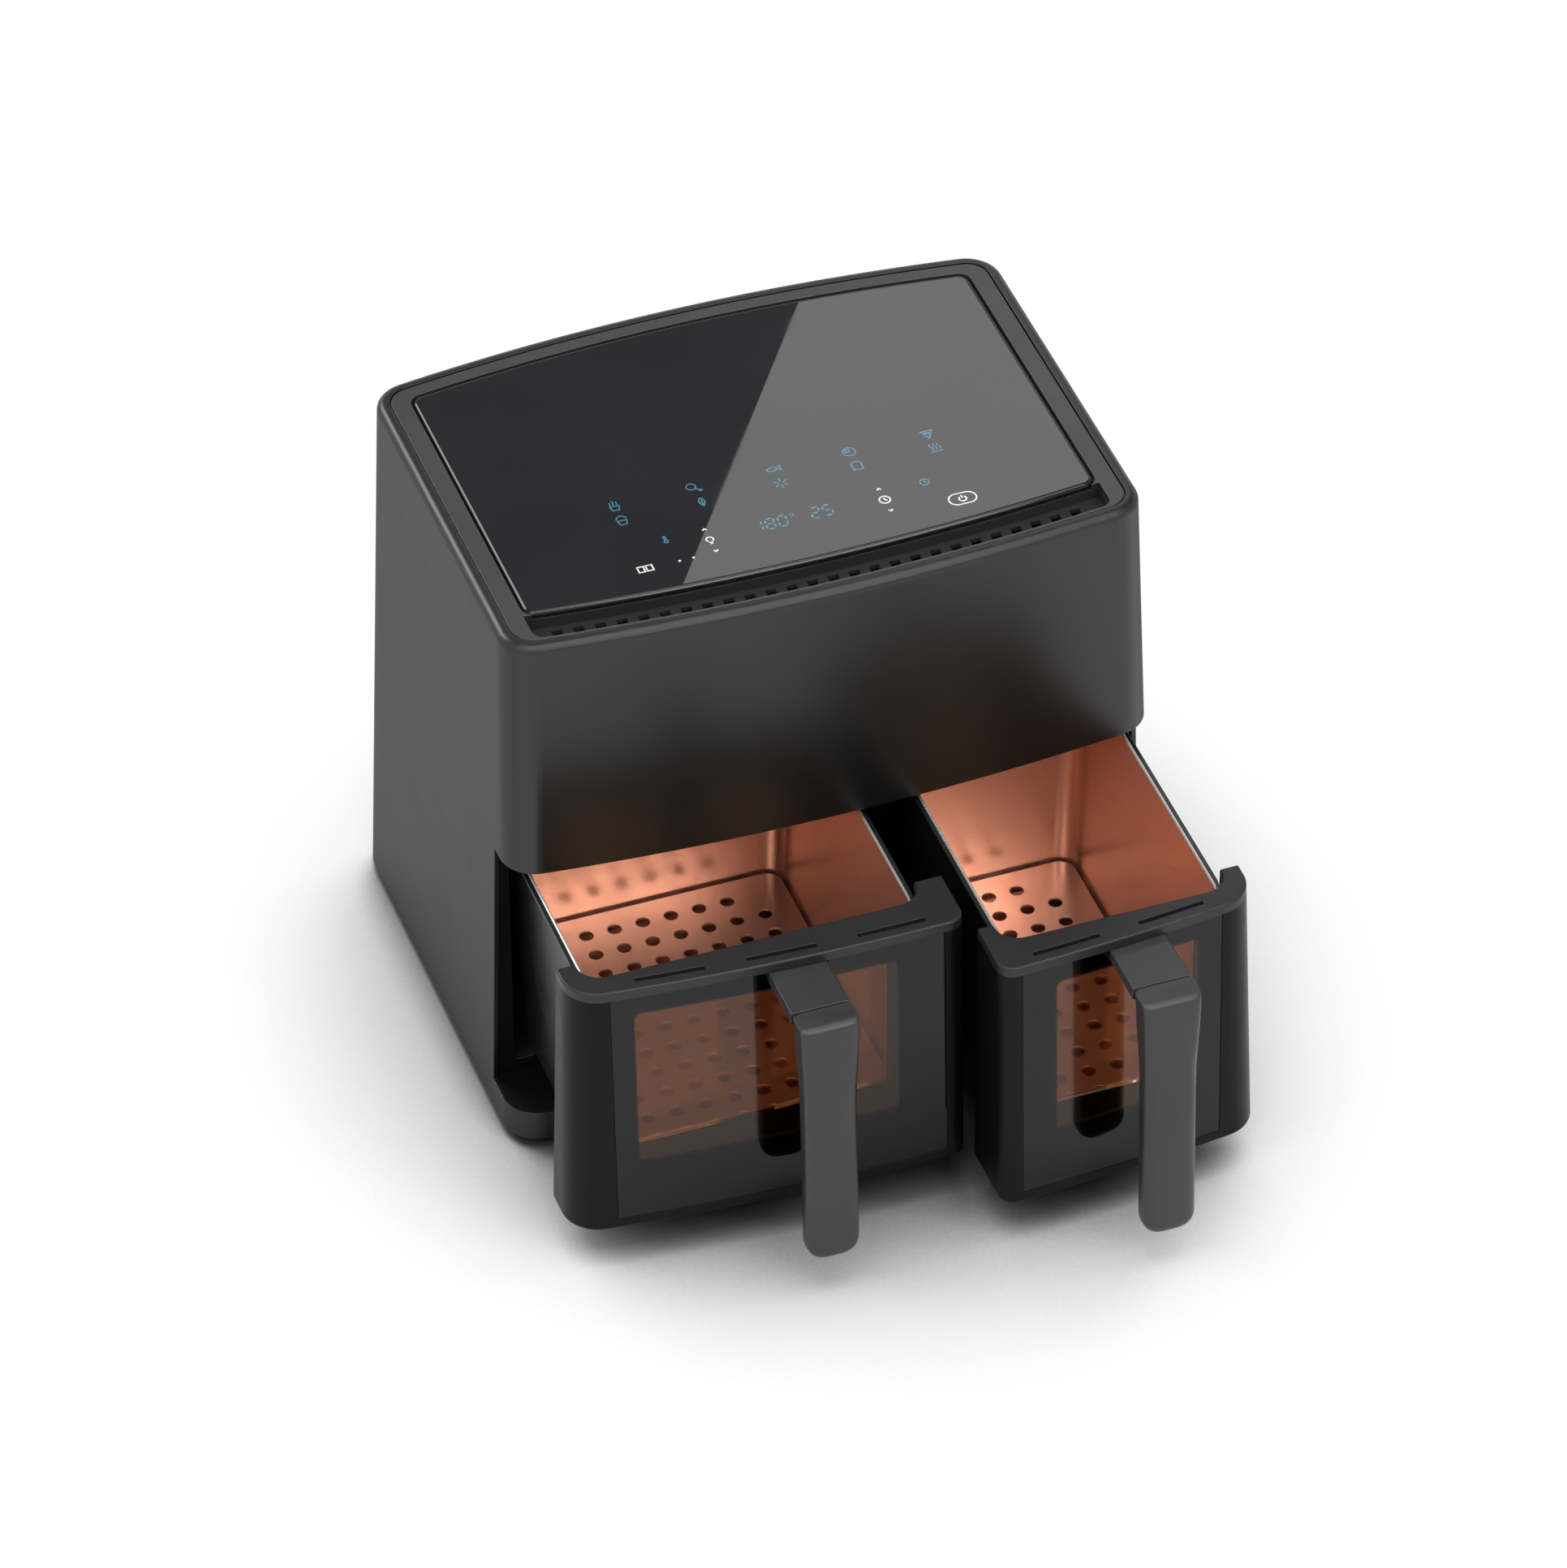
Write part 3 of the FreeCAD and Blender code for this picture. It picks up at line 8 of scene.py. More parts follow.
import bmesh
import bpy
from mathutils import Matrix, Vector


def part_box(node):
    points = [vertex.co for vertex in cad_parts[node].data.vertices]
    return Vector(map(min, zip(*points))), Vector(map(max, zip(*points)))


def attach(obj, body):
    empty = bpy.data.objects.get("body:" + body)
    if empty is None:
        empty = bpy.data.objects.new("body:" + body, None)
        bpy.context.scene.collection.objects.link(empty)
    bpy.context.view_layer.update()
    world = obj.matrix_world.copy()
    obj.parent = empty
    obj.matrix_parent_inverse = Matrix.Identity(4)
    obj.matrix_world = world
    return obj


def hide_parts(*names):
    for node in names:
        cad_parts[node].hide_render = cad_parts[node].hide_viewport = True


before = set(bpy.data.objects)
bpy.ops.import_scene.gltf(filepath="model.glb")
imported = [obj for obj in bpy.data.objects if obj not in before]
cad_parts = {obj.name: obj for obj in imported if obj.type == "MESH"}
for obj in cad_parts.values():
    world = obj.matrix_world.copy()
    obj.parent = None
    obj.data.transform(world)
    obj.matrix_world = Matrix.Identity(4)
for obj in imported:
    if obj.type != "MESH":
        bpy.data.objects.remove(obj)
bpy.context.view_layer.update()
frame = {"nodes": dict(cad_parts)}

LOG = logging.getLogger("air_fryer")

Colour = tuple[float, float, float, float]
Point = tuple[float, float]
Stroke = list[Point]
Node = bpy.types.Node
Socket = bpy.types.NodeSocket
Sockets = dict[str, Socket]
Piece = bpy.types.Object
Pieces = dict[str, Piece]
Value = object

IMAGE_HEIGHT = 1932
SENSOR = 36.0
MM = 0.001
SAME_PLACE = 1e-9
MITRE_LIMIT = 0.5
BELOW_GLASS = 0.002


class Side(Enum):
    """The two drawers."""

    LEFT = "left"
    RIGHT = "right"


def hue(code: str) -> Colour:
    """Return the linear colour of a six-digit screen colour.

    Args:
        code: Red, green and blue as two hexadecimal digits each.

    Returns:
        The linear red, green, blue and an alpha of one.
    """
    shares = [int(code[place:place + 2], 16) / 255 for place in (0, 2, 4)]
    linear = [share / 12.92 if share <= 0.04045 else ((share + 0.055) / 1.055) ** 2.4 for share in shares]
    return linear[0], linear[1], linear[2], 1.0


def scaled(colour: Colour, factor: float) -> Colour:
    """Return a colour with its light scaled."""
    return factor * colour[0], factor * colour[1], factor * colour[2], 1.0


# Node trees

class NodeSheet:
    """Adds, sets and links the nodes of one tree."""

    def __init__(self, tree: bpy.types.NodeTree) -> None:
        """Take a node tree and empty it."""
        self.tree = tree
        tree.nodes.clear()

    def feed(self, socket: Socket, value: Value) -> None:
        """Link a socket to an output, or set its constant.

        Args:
            socket: The input to fill.
            value: An output socket, or a plain value.
        """
        if isinstance(value, Socket):
            self.tree.links.new(value, socket)
        else:
            socket.default_value = value

    def add(self, kind: str, inputs: dict[str, Value] | None = None, **settings: Value) -> Node:
        """Add a node.

        Args:
            kind: The node's type name.
            inputs: Values or outputs for its inputs, by name.
            **settings: The node's own properties.

        Returns:
            The new node.
        """
        node = self.tree.nodes.new(kind)
        for name, value in settings.items():
            setattr(node, name, value)
        for name, value in (inputs or {}).items():
            self.feed(node.inputs[name], value)
        return node

    def math(self, operation: str, *values: Value) -> Socket:
        """Return the result of a math node.

        Args:
            operation: The operation's name.
            *values: One or more operands.

        Returns:
            The node's output.
        """
        node = self.add("ShaderNodeMath", operation=operation)
        for socket, value in zip(node.inputs, values):
            self.feed(socket, value)
        return node.outputs[0]

    def blend(self, share: Value, first: Value, second: Value) -> Socket:
        """Return a colour between two colours.

        Args:
            share: How much of the second colour there is.
            first: The colour at share 0.
            second: The colour at share 1.

        Returns:
            The mixed colour.
        """
        node = self.add("ShaderNodeMix", data_type="RGBA")
        for place, value in ((0, share), (6, first), (7, second)):
            self.feed(node.inputs[place], value)
        return node.outputs[2]

    def ramp(self, value: Value, low: Value, high: Value, start: float = 0.0, end: float = 1.0) -> Socket:
        """Return a smooth step of a value.

        Args:
            value: The value to map.
            low: Where the step starts.
            high: Where the step ends.
            start: The result below the step.
            end: The result above the step.

        Returns:
            The stepped value.
        """
        node = self.add("ShaderNodeMapRange", interpolation_type="SMOOTHSTEP")
        for place, item in enumerate((value, low, high, start, end)):
            self.feed(node.inputs[place], item)
        return node.outputs[0]

    def length(self, first: Value, second: Value) -> Socket:
        """Return the length of the diagonal of two sides."""
        squares = [self.math("MULTIPLY", side, side) for side in (first, second)]
        return self.math("SQRT", self.math("ADD", *squares))

    def place(self) -> Socket:
        """Return the place on the object, in metres."""
        return self.add("ShaderNodeTexCoord").outputs["Object"]

    def axes(self, vector: Value) -> Node:
        """Return a node that splits a vector into X, Y and Z."""
        return self.add("ShaderNodeSeparateXYZ", {"Vector": vector})

    def vector(self, operation: str, first: Value, second: Value) -> Node:
        """Return a node that joins two vectors.

        Args:
            operation: The operation's name.
            first: The first vector.
            second: The second vector.

        Returns:
            The node.
        """
        node = self.add("ShaderNodeVectorMath", operation=operation)
        self.feed(node.inputs[0], first)
        self.feed(node.inputs[1], second)
        return node

    def bump(self, height: Value, normal: Value, strength: float, depth: float) -> Socket:
        """Return a normal with fine hills.

        Args:
            height: The hills.
            normal: The normal that they stand on.
            strength: How much of them shows.
            depth: How high they are, in metres.

        Returns:
            The bumpy normal.
        """
        inputs = {"Strength": strength, "Distance": depth, "Height": height, "Normal": normal}
        return self.add("ShaderNodeBump", inputs).outputs["Normal"]

    def noise(self, scale: Value, detail: float, place: Value = None, **inputs: Value) -> Socket:
        """Return a noise value.

        Args:
            scale: Features per metre.
            detail: Octaves of finer noise.
            place: The coordinates; the place on the object when there is none.
            **inputs: Other inputs of the noise node.

        Returns:
            The noise, about 0.5 in the middle.
        """
        where = self.place() if place is None else place
        basic = {"Vector": where, "Scale": scale, "Detail": detail}
        return self.add("ShaderNodeTexNoise", basic | inputs).outputs[0]

    def surface(self, shader: Node, colour: Value, roughness: Value, normal: Value = None) -> Socket:
        """Set a shader's colour, roughness and normal.

        Args:
            shader: The shader.
            colour: Its base colour.
            roughness: Its roughness.
            normal: Its normal; the plain one when there is none.

        Returns:
            The shader's output.
        """
        self.feed(shader.inputs["Base Color"], colour)
        self.feed(shader.inputs["Roughness"], roughness)
        if normal is not None:
            self.feed(shader.inputs["Normal"], normal)
        return shader.outputs[0]

    def seen(self) -> Socket:
        """Return 1 for rays that show the background: to the camera, in gloss and through glass.

        Returns:
            The mask, 0 or 1.
        """
        path = self.add("ShaderNodeLightPath")
        first = self.math("MAXIMUM", path.outputs["Is Camera Ray"], path.outputs["Is Glossy Ray"])
        return self.math("MAXIMUM", first, path.outputs["Is Transmission Ray"])


def blank_material(name: str) -> tuple[bpy.types.Material, NodeSheet]:
    """Return a new material and its empty sheet of nodes.

    Args:
        name: The material's name.

    Returns:
        The material and the sheet.
    """
    made = bpy.data.materials.new(name)
    made.use_nodes = True
    return made, NodeSheet(made.node_tree)


# Effects that several finishes share

@dataclass(frozen=True)
class Effect:
    """A node group with named float inputs and named outputs."""

    name: str
    inputs: tuple[str, ...]
    outputs: dict[str, str]
    draw: Callable[[NodeSheet, Node], Sockets]

    def tree(self) -> bpy.types.NodeTree:
        """Return the group's tree, drawn on first use.

        Returns:
            The tree.
        """
        made = bpy.data.node_groups.get(self.name)
        if made:
            return made
        made = bpy.data.node_groups.new(self.name, "ShaderNodeTree")
        for name in self.inputs:
            made.interface.new_socket(name, in_out="INPUT", socket_type="NodeSocketFloat")
        for name, kind in self.outputs.items():
            made.interface.new_socket(name, in_out="OUTPUT", socket_type=kind)
        sheet = NodeSheet(made)
        source = sheet.add("NodeGroupInput")
        sink = sheet.add("NodeGroupOutput")
        for name, socket in self.draw(sheet, source).items():
            sheet.feed(sink.inputs[name], socket)
        return made

    def put(self, sheet: NodeSheet, **values: float) -> Node:
        """Place the group in a material.

        Args:
            sheet: The material's nodes.
            **values: The group's inputs, with underscores for spaces.

        Returns:
            The group node.
        """
        node = sheet.add("ShaderNodeGroup", node_tree=self.tree())
        for name, value in values.items():
            sheet.feed(node.inputs[name.replace("_", " ")], value)
        return node


def draw_grain(sheet: NodeSheet, source: Node) -> Sockets:
    """Draw the fine texture of a moulded surface and its broad change of tone.

    Args:
        sheet: The group's nodes.
        source: The group's input node.

    Returns:
        The group's outputs by name.
    """
    height = sheet.noise(source.outputs["Scale"], detail=3.0, Roughness=0.6)
    tone = sheet.ramp(sheet.noise(scale=11.0, detail=4.0, Roughness=0.55), low=0.3, high=0.7)
    return {"Tone": tone, "Height": height}


def draw_marks(sheet: NodeSheet, source: Node) -> Sockets:
    """Draw the change of roughness that handling and wiping leave.

    Args:
        sheet: The group's nodes.
        source: The group's input node.

    Returns:
        The group's outputs by name.
    """
    cloud = sheet.noise(source.outputs["Scale"], detail=5.0, Distortion=1.4)
    share = sheet.math("SUBTRACT", sheet.ramp(cloud, low=0.35, high=0.72), 0.5)
    shift = sheet.math("MULTIPLY", share, source.outputs["Spread"])
    return {"Roughness": sheet.math("ADD", source.outputs["Roughness"], shift)}


def draw_edges(sheet: NodeSheet, source: Node) -> Sockets:
    """Draw the softened normal of an edge and the light wear along it.

    Args:
        sheet: The group's nodes.
        source: The group's input node.

    Returns:
        The group's outputs by name.
    """
    soft = sheet.add("ShaderNodeBevel", {"Radius": source.outputs["Radius"]}, samples=6).outputs[0]
    plain = sheet.add("ShaderNodeNewGeometry").outputs["Normal"]
    facing = sheet.vector("DOT_PRODUCT", soft, plain)
    turned = sheet.math("SUBTRACT", 1.0, facing.outputs["Value"])
    patchy = sheet.ramp(sheet.noise(scale=90.0, detail=4.0), low=0.3, high=0.6, start=0.35, end=1.0)
    wear = sheet.math("MULTIPLY", sheet.ramp(turned, low=0.01, high=0.2), patchy)
    return {"Normal": soft, "Wear": wear}


def draw_flecks(sheet: NodeSheet, source: Node) -> Sockets:
    """Draw the sparse flecks and the orange peel of a non-stick coat.

    Args:
        sheet: The group's nodes.
        source: The group's input node.

    Returns:
        The group's outputs by name.
    """
    cells = sheet.add("ShaderNodeTexVoronoi", {"Vector": sheet.place(), "Scale": source.outputs["Scale"]})
    spot = sheet.ramp(cells.outputs["Distance"], low=0.12, high=0.3, start=1.0, end=0.0)
    chosen = sheet.add("ShaderNodeSeparateColor", {"Color": cells.outputs["Color"]}).outputs[0]
    left_out = 0.62
    flecks = sheet.math("MULTIPLY", spot, sheet.math("GREATER_THAN", chosen, left_out))
    return {"Flecks": flecks, "Height": sheet.noise(scale=900.0, detail=2.0)}


def draw_brush(sheet: NodeSheet, source: Node) -> Sockets:
    """Draw the long fine lines of rolled sheet metal.

    Args:
        sheet: The group's nodes.
        source: The group's input node.

    Returns:
        The group's outputs by name.
    """
    runs = {name: source.outputs[f"Along {name}"] for name in "XYZ"}
    scale = sheet.add("ShaderNodeCombineXYZ", runs).outputs[0]
    mapped = sheet.vector("MULTIPLY", sheet.place(), scale).outputs[0]
    lines = sheet.noise(scale=1.0, detail=6.0, place=mapped, Roughness=0.65)
    stains = sheet.ramp(sheet.noise(scale=24.0, detail=4.0, Distortion=0.8), low=0.4, high=0.75)
    return {"Lines": lines, "Stains": stains}


def draw_window(sheet: NodeSheet, source: Node) -> Sockets:
    """Draw the clear part of a printed glass: a rounded upright rectangle with a soft border.

    Args:
        sheet: The group's nodes.
        source: The group's input node.

    Returns:
        The group's outputs by name.
    """
    split = sheet.axes(sheet.place())
    outs = []
    for axis, half in (("X", "Half Width"), ("Z", "Half Height")):
        offset = sheet.math("SUBTRACT", split.outputs[axis], source.outputs[f"Middle {axis}"])
        away = sheet.math("ABSOLUTE", offset)
        inner = sheet.math("SUBTRACT", source.outputs[half], source.outputs["Corner"])
        outs.append(sheet.math("MAXIMUM", sheet.math("SUBTRACT", away, inner), 0.0))
    reach = sheet.length(*outs)
    start = sheet.math("SUBTRACT", source.outputs["Corner"], source.outputs["Softness"])
    return {"Clear": sheet.ramp(reach, start, source.outputs["Corner"], start=1.0, end=0.0)}


def draw_pan(sheet: NodeSheet, source: Node) -> Sockets:
    """Draw the mask of a leaning pan's inside, at the middle of its wall, with rounded corners and foot.

    Args:
        sheet: The group's nodes.
        source: The group's input node.

    Returns:
        The group's outputs by name.
    """
    split = sheet.axes(sheet.place())
    lean = sheet.math("MULTIPLY", sheet.math("SUBTRACT", source.outputs["Rim"], split.outputs["Z"]),
                      source.outputs["Lean"])
    corner, foot = source.outputs["Corner"], source.outputs["Foot"]
    away = sheet.math("ABSOLUTE", sheet.math("SUBTRACT", split.outputs["X"], source.outputs["Middle X"]))
    side = sheet.math("SUBTRACT", sheet.math("ADD", away, lean), source.outputs["Half Width"])
    back = sheet.math("SUBTRACT", sheet.math("ADD", split.outputs["Y"], lean), source.outputs["Back"])
    front = sheet.math("SUBTRACT", source.outputs["Front"], split.outputs["Y"])
    ends = sheet.math("MAXIMUM", back, front)
    past = [sheet.math("MAXIMUM", sheet.math("ADD", out, corner), 0.0) for out in (side, ends)]
    round_plan = sheet.length(*past)
    plan = sheet.math("MAXIMUM", sheet.math("ADD", sheet.math("SUBTRACT", round_plan, corner), foot), 0.0)
    sunk = sheet.math("SUBTRACT", sheet.math("ADD", source.outputs["Floor"], foot), split.outputs["Z"])
    reach = sheet.length(plan, sheet.math("MAXIMUM", sunk, 0.0))
    return {"Inside": sheet.math("LESS_THAN", reach, foot)}


def draw_facing(sheet: NodeSheet, source: Node) -> Sockets:
    """Draw the mask of the surfaces that face neither the front nor upwards.

    Args:
        sheet: The group's nodes.
        source: The group's input node.

    Returns:
        The group's outputs by name.
    """
    split = sheet.axes(sheet.add("ShaderNodeTexCoord").outputs["Normal"])
    forward = sheet.math("MULTIPLY", split.outputs["Y"], -1.0)
    shown = sheet.math("MAXIMUM", forward, split.outputs["Z"])
    return {"Side": sheet.ramp(shown, source.outputs["Start"], source.outputs["End"], start=1.0, end=0.0)}


FLOAT = "NodeSocketFloat"
VECTOR = "NodeSocketVector"
GRAIN = Effect("moulded_grain", ("Scale",), {"Tone": FLOAT, "Height": FLOAT}, draw_grain)
MARKS = Effect("handling_marks", ("Roughness", "Spread", "Scale"), {"Roughness": FLOAT}, draw_marks)
FACING = Effect("matt_side", ("Start", "End"), {"Side": FLOAT}, draw_facing)
EDGES = Effect("edge_wear", ("Radius",), {"Normal": VECTOR, "Wear": FLOAT}, draw_edges)
FLECKS = Effect("coat_flecks", ("Scale",), {"Flecks": FLOAT, "Height": FLOAT}, draw_flecks)
BRUSH = Effect("brushed_sheet", ("Along X", "Along Y", "Along Z"), {"Lines": FLOAT, "Stains": FLOAT},
               draw_brush)
WINDOW = Effect("window_print", ("Middle X", "Middle Z", "Half Width", "Half Height", "Corner", "Softness"),
                {"Clear": FLOAT}, draw_window)
PAN = Effect("pan_inside", ("Middle X", "Half Width", "Front", "Back", "Floor", "Rim", "Lean", "Corner",
                            "Foot"), {"Inside": FLOAT}, draw_pan)


# Finishes

@dataclass(frozen=True)
class Finish:
    """A surface finish that becomes one material."""

    name: str

    def shade(self, sheet: NodeSheet, shader: Node) -> Socket:
        """Set the shader of the material and return what the output shows."""
        raise NotImplementedError

    def material(self) -> bpy.types.Material:
        """Return the material, made on first use.

        Returns:
            The material.
        """
        made = bpy.data.materials.get(self.name)
        if made:
            return made
        made, sheet = blank_material(self.name)
        shader = sheet.add("ShaderNodeBsdfPrincipled")
        sheet.add("ShaderNodeOutputMaterial", {"Surface": self.shade(sheet, shader)})
        return made

    def coat(self, *objects: Piece) -> None:
        """Give objects this finish.

        Args:
            *objects: The pieces that take it.
        """
        for item in objects:
            if item.material_slots:
                item.material_slots[0].material = self.material()
            else:
                item.data.materials.append(self.material())
            LOG.info("piece %s takes %s", item.name, self.name)


@dataclass(frozen=True)
class Moulded(Finish):
    """Moulded or painted plastic with a fine texture, handling marks and lightly worn edges."""

    colour: Colour
    worn: Colour
    roughness: float
    spread: float = 0.1
    texture: float = 1700.0
    depth: float = 0.00002
    edge: float = 0.0006
    specular: float = 0.5
    shift: float = 1.16
    # Below the deep level the colour is painted near-black: painted shade in a recess
    deep: float | None = None
    deep_colour: Colour = (0.004, 0.004, 0.004, 1.0)
    deep_soft: float = 0.002
    deep_roughness: float = 0.8
    side_roughness: float | None = None

    def shade(self, sheet: NodeSheet, shader: Node) -> Socket:
        """Set grain, marks, edges and, if there is one, the painted shade below the deep level on the
        shader.

        Args:
            sheet: The material's nodes.
            shader: The material's main shader.

        Returns:
            What the material's output shows.
        """
        grain = GRAIN.put(sheet, Scale=self.texture)
        edges = EDGES.put(sheet, Radius=self.edge)
        marks = MARKS.put(sheet, Roughness=self.roughness, Spread=self.spread, Scale=19.0)
        toned = sheet.blend(grain.outputs["Tone"], self.colour, scaled(self.colour, self.shift))
        normal = sheet.bump(grain.outputs["Height"], edges.outputs["Normal"], strength=0.6, depth=self.depth)
        shader.inputs["Specular IOR Level"].default_value = self.specular
        colour = sheet.blend(edges.outputs["Wear"], toned, self.worn)
        rough = marks.outputs["Roughness"]
        if self.deep is not None:
            # Painted shade: below the deep level the colour fades to near-black, and the roughness rises too
            height = sheet.axes(sheet.place()).outputs["Z"]
            sunk = sheet.ramp(height, self.deep - self.deep_soft, self.deep, start=1.0, end=0.0)
            colour = sheet.blend(sunk, colour, self.deep_colour)
            rough = sheet.math("MAXIMUM", rough, sheet.math("MULTIPLY", sunk, self.deep_roughness))
        if self.side_roughness is not None:
            facing = FACING.put(sheet, Start=0.6, End=0.92)
            more = sheet.math("MULTIPLY", facing.outputs["Side"], self.side_roughness - self.roughness)
            rough = sheet.math("ADD", rough, more)
        return sheet.surface(shader, colour, rough, normal)


@dataclass(frozen=True)
class Sheet(Finish):
    """Bare sheet or bar metal with fine lines, dull stains and softened edges."""

    colour: Colour
    stained: Colour
    roughness: float
    along: tuple[float, float, float]
    edge: float = 0.0004
    metallic: float = 1.0
    stain_share: float = 0.6
    line_spread: float = 0.2

    def shade(self, sheet: NodeSheet, shader: Node) -> Socket:
        """Set lines, stains and edges on the shader.

        Args:
            sheet: The material's nodes.
            shader: The material's main shader.

        Returns:
            What the material's output shows.
        """
        brush = BRUSH.put(sheet, Along_X=self.along[0], Along_Y=self.along[1], Along_Z=self.along[2])
        edges = EDGES.put(sheet, Radius=self.edge)
        share = sheet.math("MULTIPLY", brush.outputs["Stains"], self.stain_share)
        spread = sheet.math("MULTIPLY", brush.outputs["Lines"], self.line_spread)
        rough = sheet.math("ADD", spread, self.roughness - self.line_spread / 2)
        normal = sheet.bump(brush.outputs["Lines"], edges.outputs["Normal"], strength=0.35, depth=0.00003)
        shader.inputs["Metallic"].default_value = self.metallic
        return sheet.surface(shader, sheet.blend(share, self.colour, self.stained), rough, normal)


@dataclass(frozen=True)
class PanShape:
    """Where a pan's inside lies, at the middle of its wall, in metres."""

    middle_x: float
    half_width: float
    front: float
    back: float
    floor: float
    rim: float
    lean: float
    corner: float
    foot: float


@dataclass(frozen=True)
class NonStick(Finish):
    """Flecked non-stick coat, with another colour outside the pan where there is a pan."""

    inside: Colour
    fleck: Colour
    outside: Colour
    pan: PanShape | None = None
    roughness: float = 0.3
    metallic: float = 0.85
    fleck_share: float = 0.5

    def shade(self, sheet: NodeSheet, shader: Node) -> Socket:
        """Set flecks, marks and the two sides on the shader.

        Args:
            sheet: The material's nodes.
            shader: The material's main shader.

        Returns:
            What the material's output shows.
        """
        flecks = FLECKS.put(sheet, Scale=620.0)
        edges = EDGES.put(sheet, Radius=0.0008)
        marks = MARKS.put(sheet, Roughness=self.roughness, Spread=0.05, Scale=26.0)
        share = sheet.math("MULTIPLY", flecks.outputs["Flecks"], self.fleck_share)
        colour = sheet.blend(share, self.inside, self.fleck)
        if self.pan:
            values = {name.title(): value for name, value in vars(self.pan).items()}
            inside = PAN.put(sheet, **values)
            colour = sheet.blend(inside.outputs["Inside"], self.outside, colour)
            metal = sheet.math("MULTIPLY", inside.outputs["Inside"], self.metallic)
            sheet.feed(shader.inputs["Metallic"], metal)
        else:
            shader.inputs["Metallic"].default_value = self.metallic
        normal = sheet.bump(flecks.outputs["Height"], edges.outputs["Normal"], strength=0.3, depth=0.00004)
        return sheet.surface(shader, colour, marks.outputs["Roughness"], normal)


@dataclass(frozen=True)
class PrintedGlass(Finish):
    """Tinted glass with a dark print round a clear window; without a window it is clear all over."""

    clear: Colour
    printed: Colour
    window: tuple[float, float, float, float] | None = None
    corner: float = 0.005
    softness: float = 0.0015
    roughness: float = 0.04
    bend: float = 1.4

    def shade(self, sheet: NodeSheet, shader: Node) -> Socket:
        """Set the tint, the print and the wipe marks on the shader.

        Args:
            sheet: The material's nodes.
            shader: The material's main shader.

        Returns:
            What the material's output shows.
        """
        marks = MARKS.put(sheet, Roughness=self.roughness, Spread=0.03, Scale=22.0)
        wipe = sheet.ramp(sheet.noise(scale=7.0, detail=3.0), low=0.3, high=0.7, start=0.92, end=1.0)
        shader.inputs["Transmission Weight"].default_value = 1.0
        shader.inputs["IOR"].default_value = self.bend
        tint = sheet.blend(wipe, self.printed, self.clear)
        if self.window:
            low_x, high_x, low_z, high_z = self.window
            clear = WINDOW.put(sheet, Middle_X=(low_x + high_x) / 2, Middle_Z=(low_z + high_z) / 2,
                               Half_Width=(high_x - low_x) / 2, Half_Height=(high_z - low_z) / 2,
                               Corner=self.corner, Softness=self.softness)
            tint = sheet.blend(clear.outputs["Clear"], self.printed, tint)
        glass = sheet.surface(shader, tint, marks.outputs["Roughness"])
        through = sheet.add("ShaderNodeBsdfTransparent", {"Color": self.clear})
        path = sheet.add("ShaderNodeLightPath")
        mixed = sheet.add("ShaderNodeMixShader")
        sheet.feed(mixed.inputs[0], path.outputs["Is Shadow Ray"])
        sheet.feed(mixed.inputs[1], glass)
        sheet.feed(mixed.inputs[2], through.outputs[0])
        return mixed.outputs[0]


@dataclass(frozen=True)
class BlackGlass(Finish):
    """Glass printed black on its back, with faint wipe marks."""

    colour: Colour
    roughness: float = 0.012
    shift: float = 1.25

    def shade(self, sheet: NodeSheet, shader: Node) -> Socket:
        """Set the print and the wipe marks on the shader.

        Args:
            sheet: The material's nodes.
            shader: The material's main shader.

        Returns:
            What the material's output shows.
        """
        marks = MARKS.put(sheet, Roughness=self.roughness, Spread=0.012, Scale=16.0)
        edges = EDGES.put(sheet, Radius=0.0005)
        grain = GRAIN.put(sheet, Scale=300.0)
        toned = sheet.blend(grain.outputs["Tone"], self.colour, scaled(self.colour, self.shift))
        return sheet.surface(shader, toned, marks.outputs["Roughness"], edges.outputs["Normal"])


@dataclass(frozen=True)
class Lit(Finish):
    """A mark that glows under the glass."""

    colour: Colour
    strength: float
    dim: float = 0.72
    unlit: Colour = hue("101114")

    def shade(self, sheet: NodeSheet, shader: Node) -> Socket:
        """Set an uneven glow and the glass's gloss on the shader.

        Args:
            sheet: The material's nodes.
            shader: The material's main shader.

        Returns:
            What the material's output shows.
        """
        uneven = sheet.ramp(sheet.noise(scale=420.0, detail=2.0), low=0.25, high=0.75)
        glow = sheet.blend(uneven, scaled(self.colour, self.dim), self.colour)
        marks = MARKS.put(sheet, Roughness=0.05, Spread=0.03, Scale=16.0)
        sheet.feed(shader.inputs["Emission Color"], glow)
        shader.inputs["Emission Strength"].default_value = self.strength
        return sheet.surface(shader, self.unlit, marks.outputs["Roughness"])


@dataclass(frozen=True)
class Board(Finish):
    """A circuit board's lacquer over its copper tracks."""

    lacquer: Colour
    track: Colour

    def shade(self, sheet: NodeSheet, shader: Node) -> Socket:
        """Set the tracks and the lacquer on the shader.

        Args:
            sheet: The material's nodes.
            shader: The material's main shader.

        Returns:
            What the material's output shows.
        """
        layout = {"Vector": sheet.place(), "Scale": 60.0, "Mortar Size": 0.05, "Color1": self.lacquer,
                  "Color2": self.lacquer, "Mortar": self.track}
        tracks = sheet.add("ShaderNodeTexBrick", layout)
        marks = MARKS.put(sheet, Roughness=0.3, Spread=0.15, Scale=30.0)
        return sheet.surface(shader, tracks.outputs["Color"], marks.outputs["Roughness"])


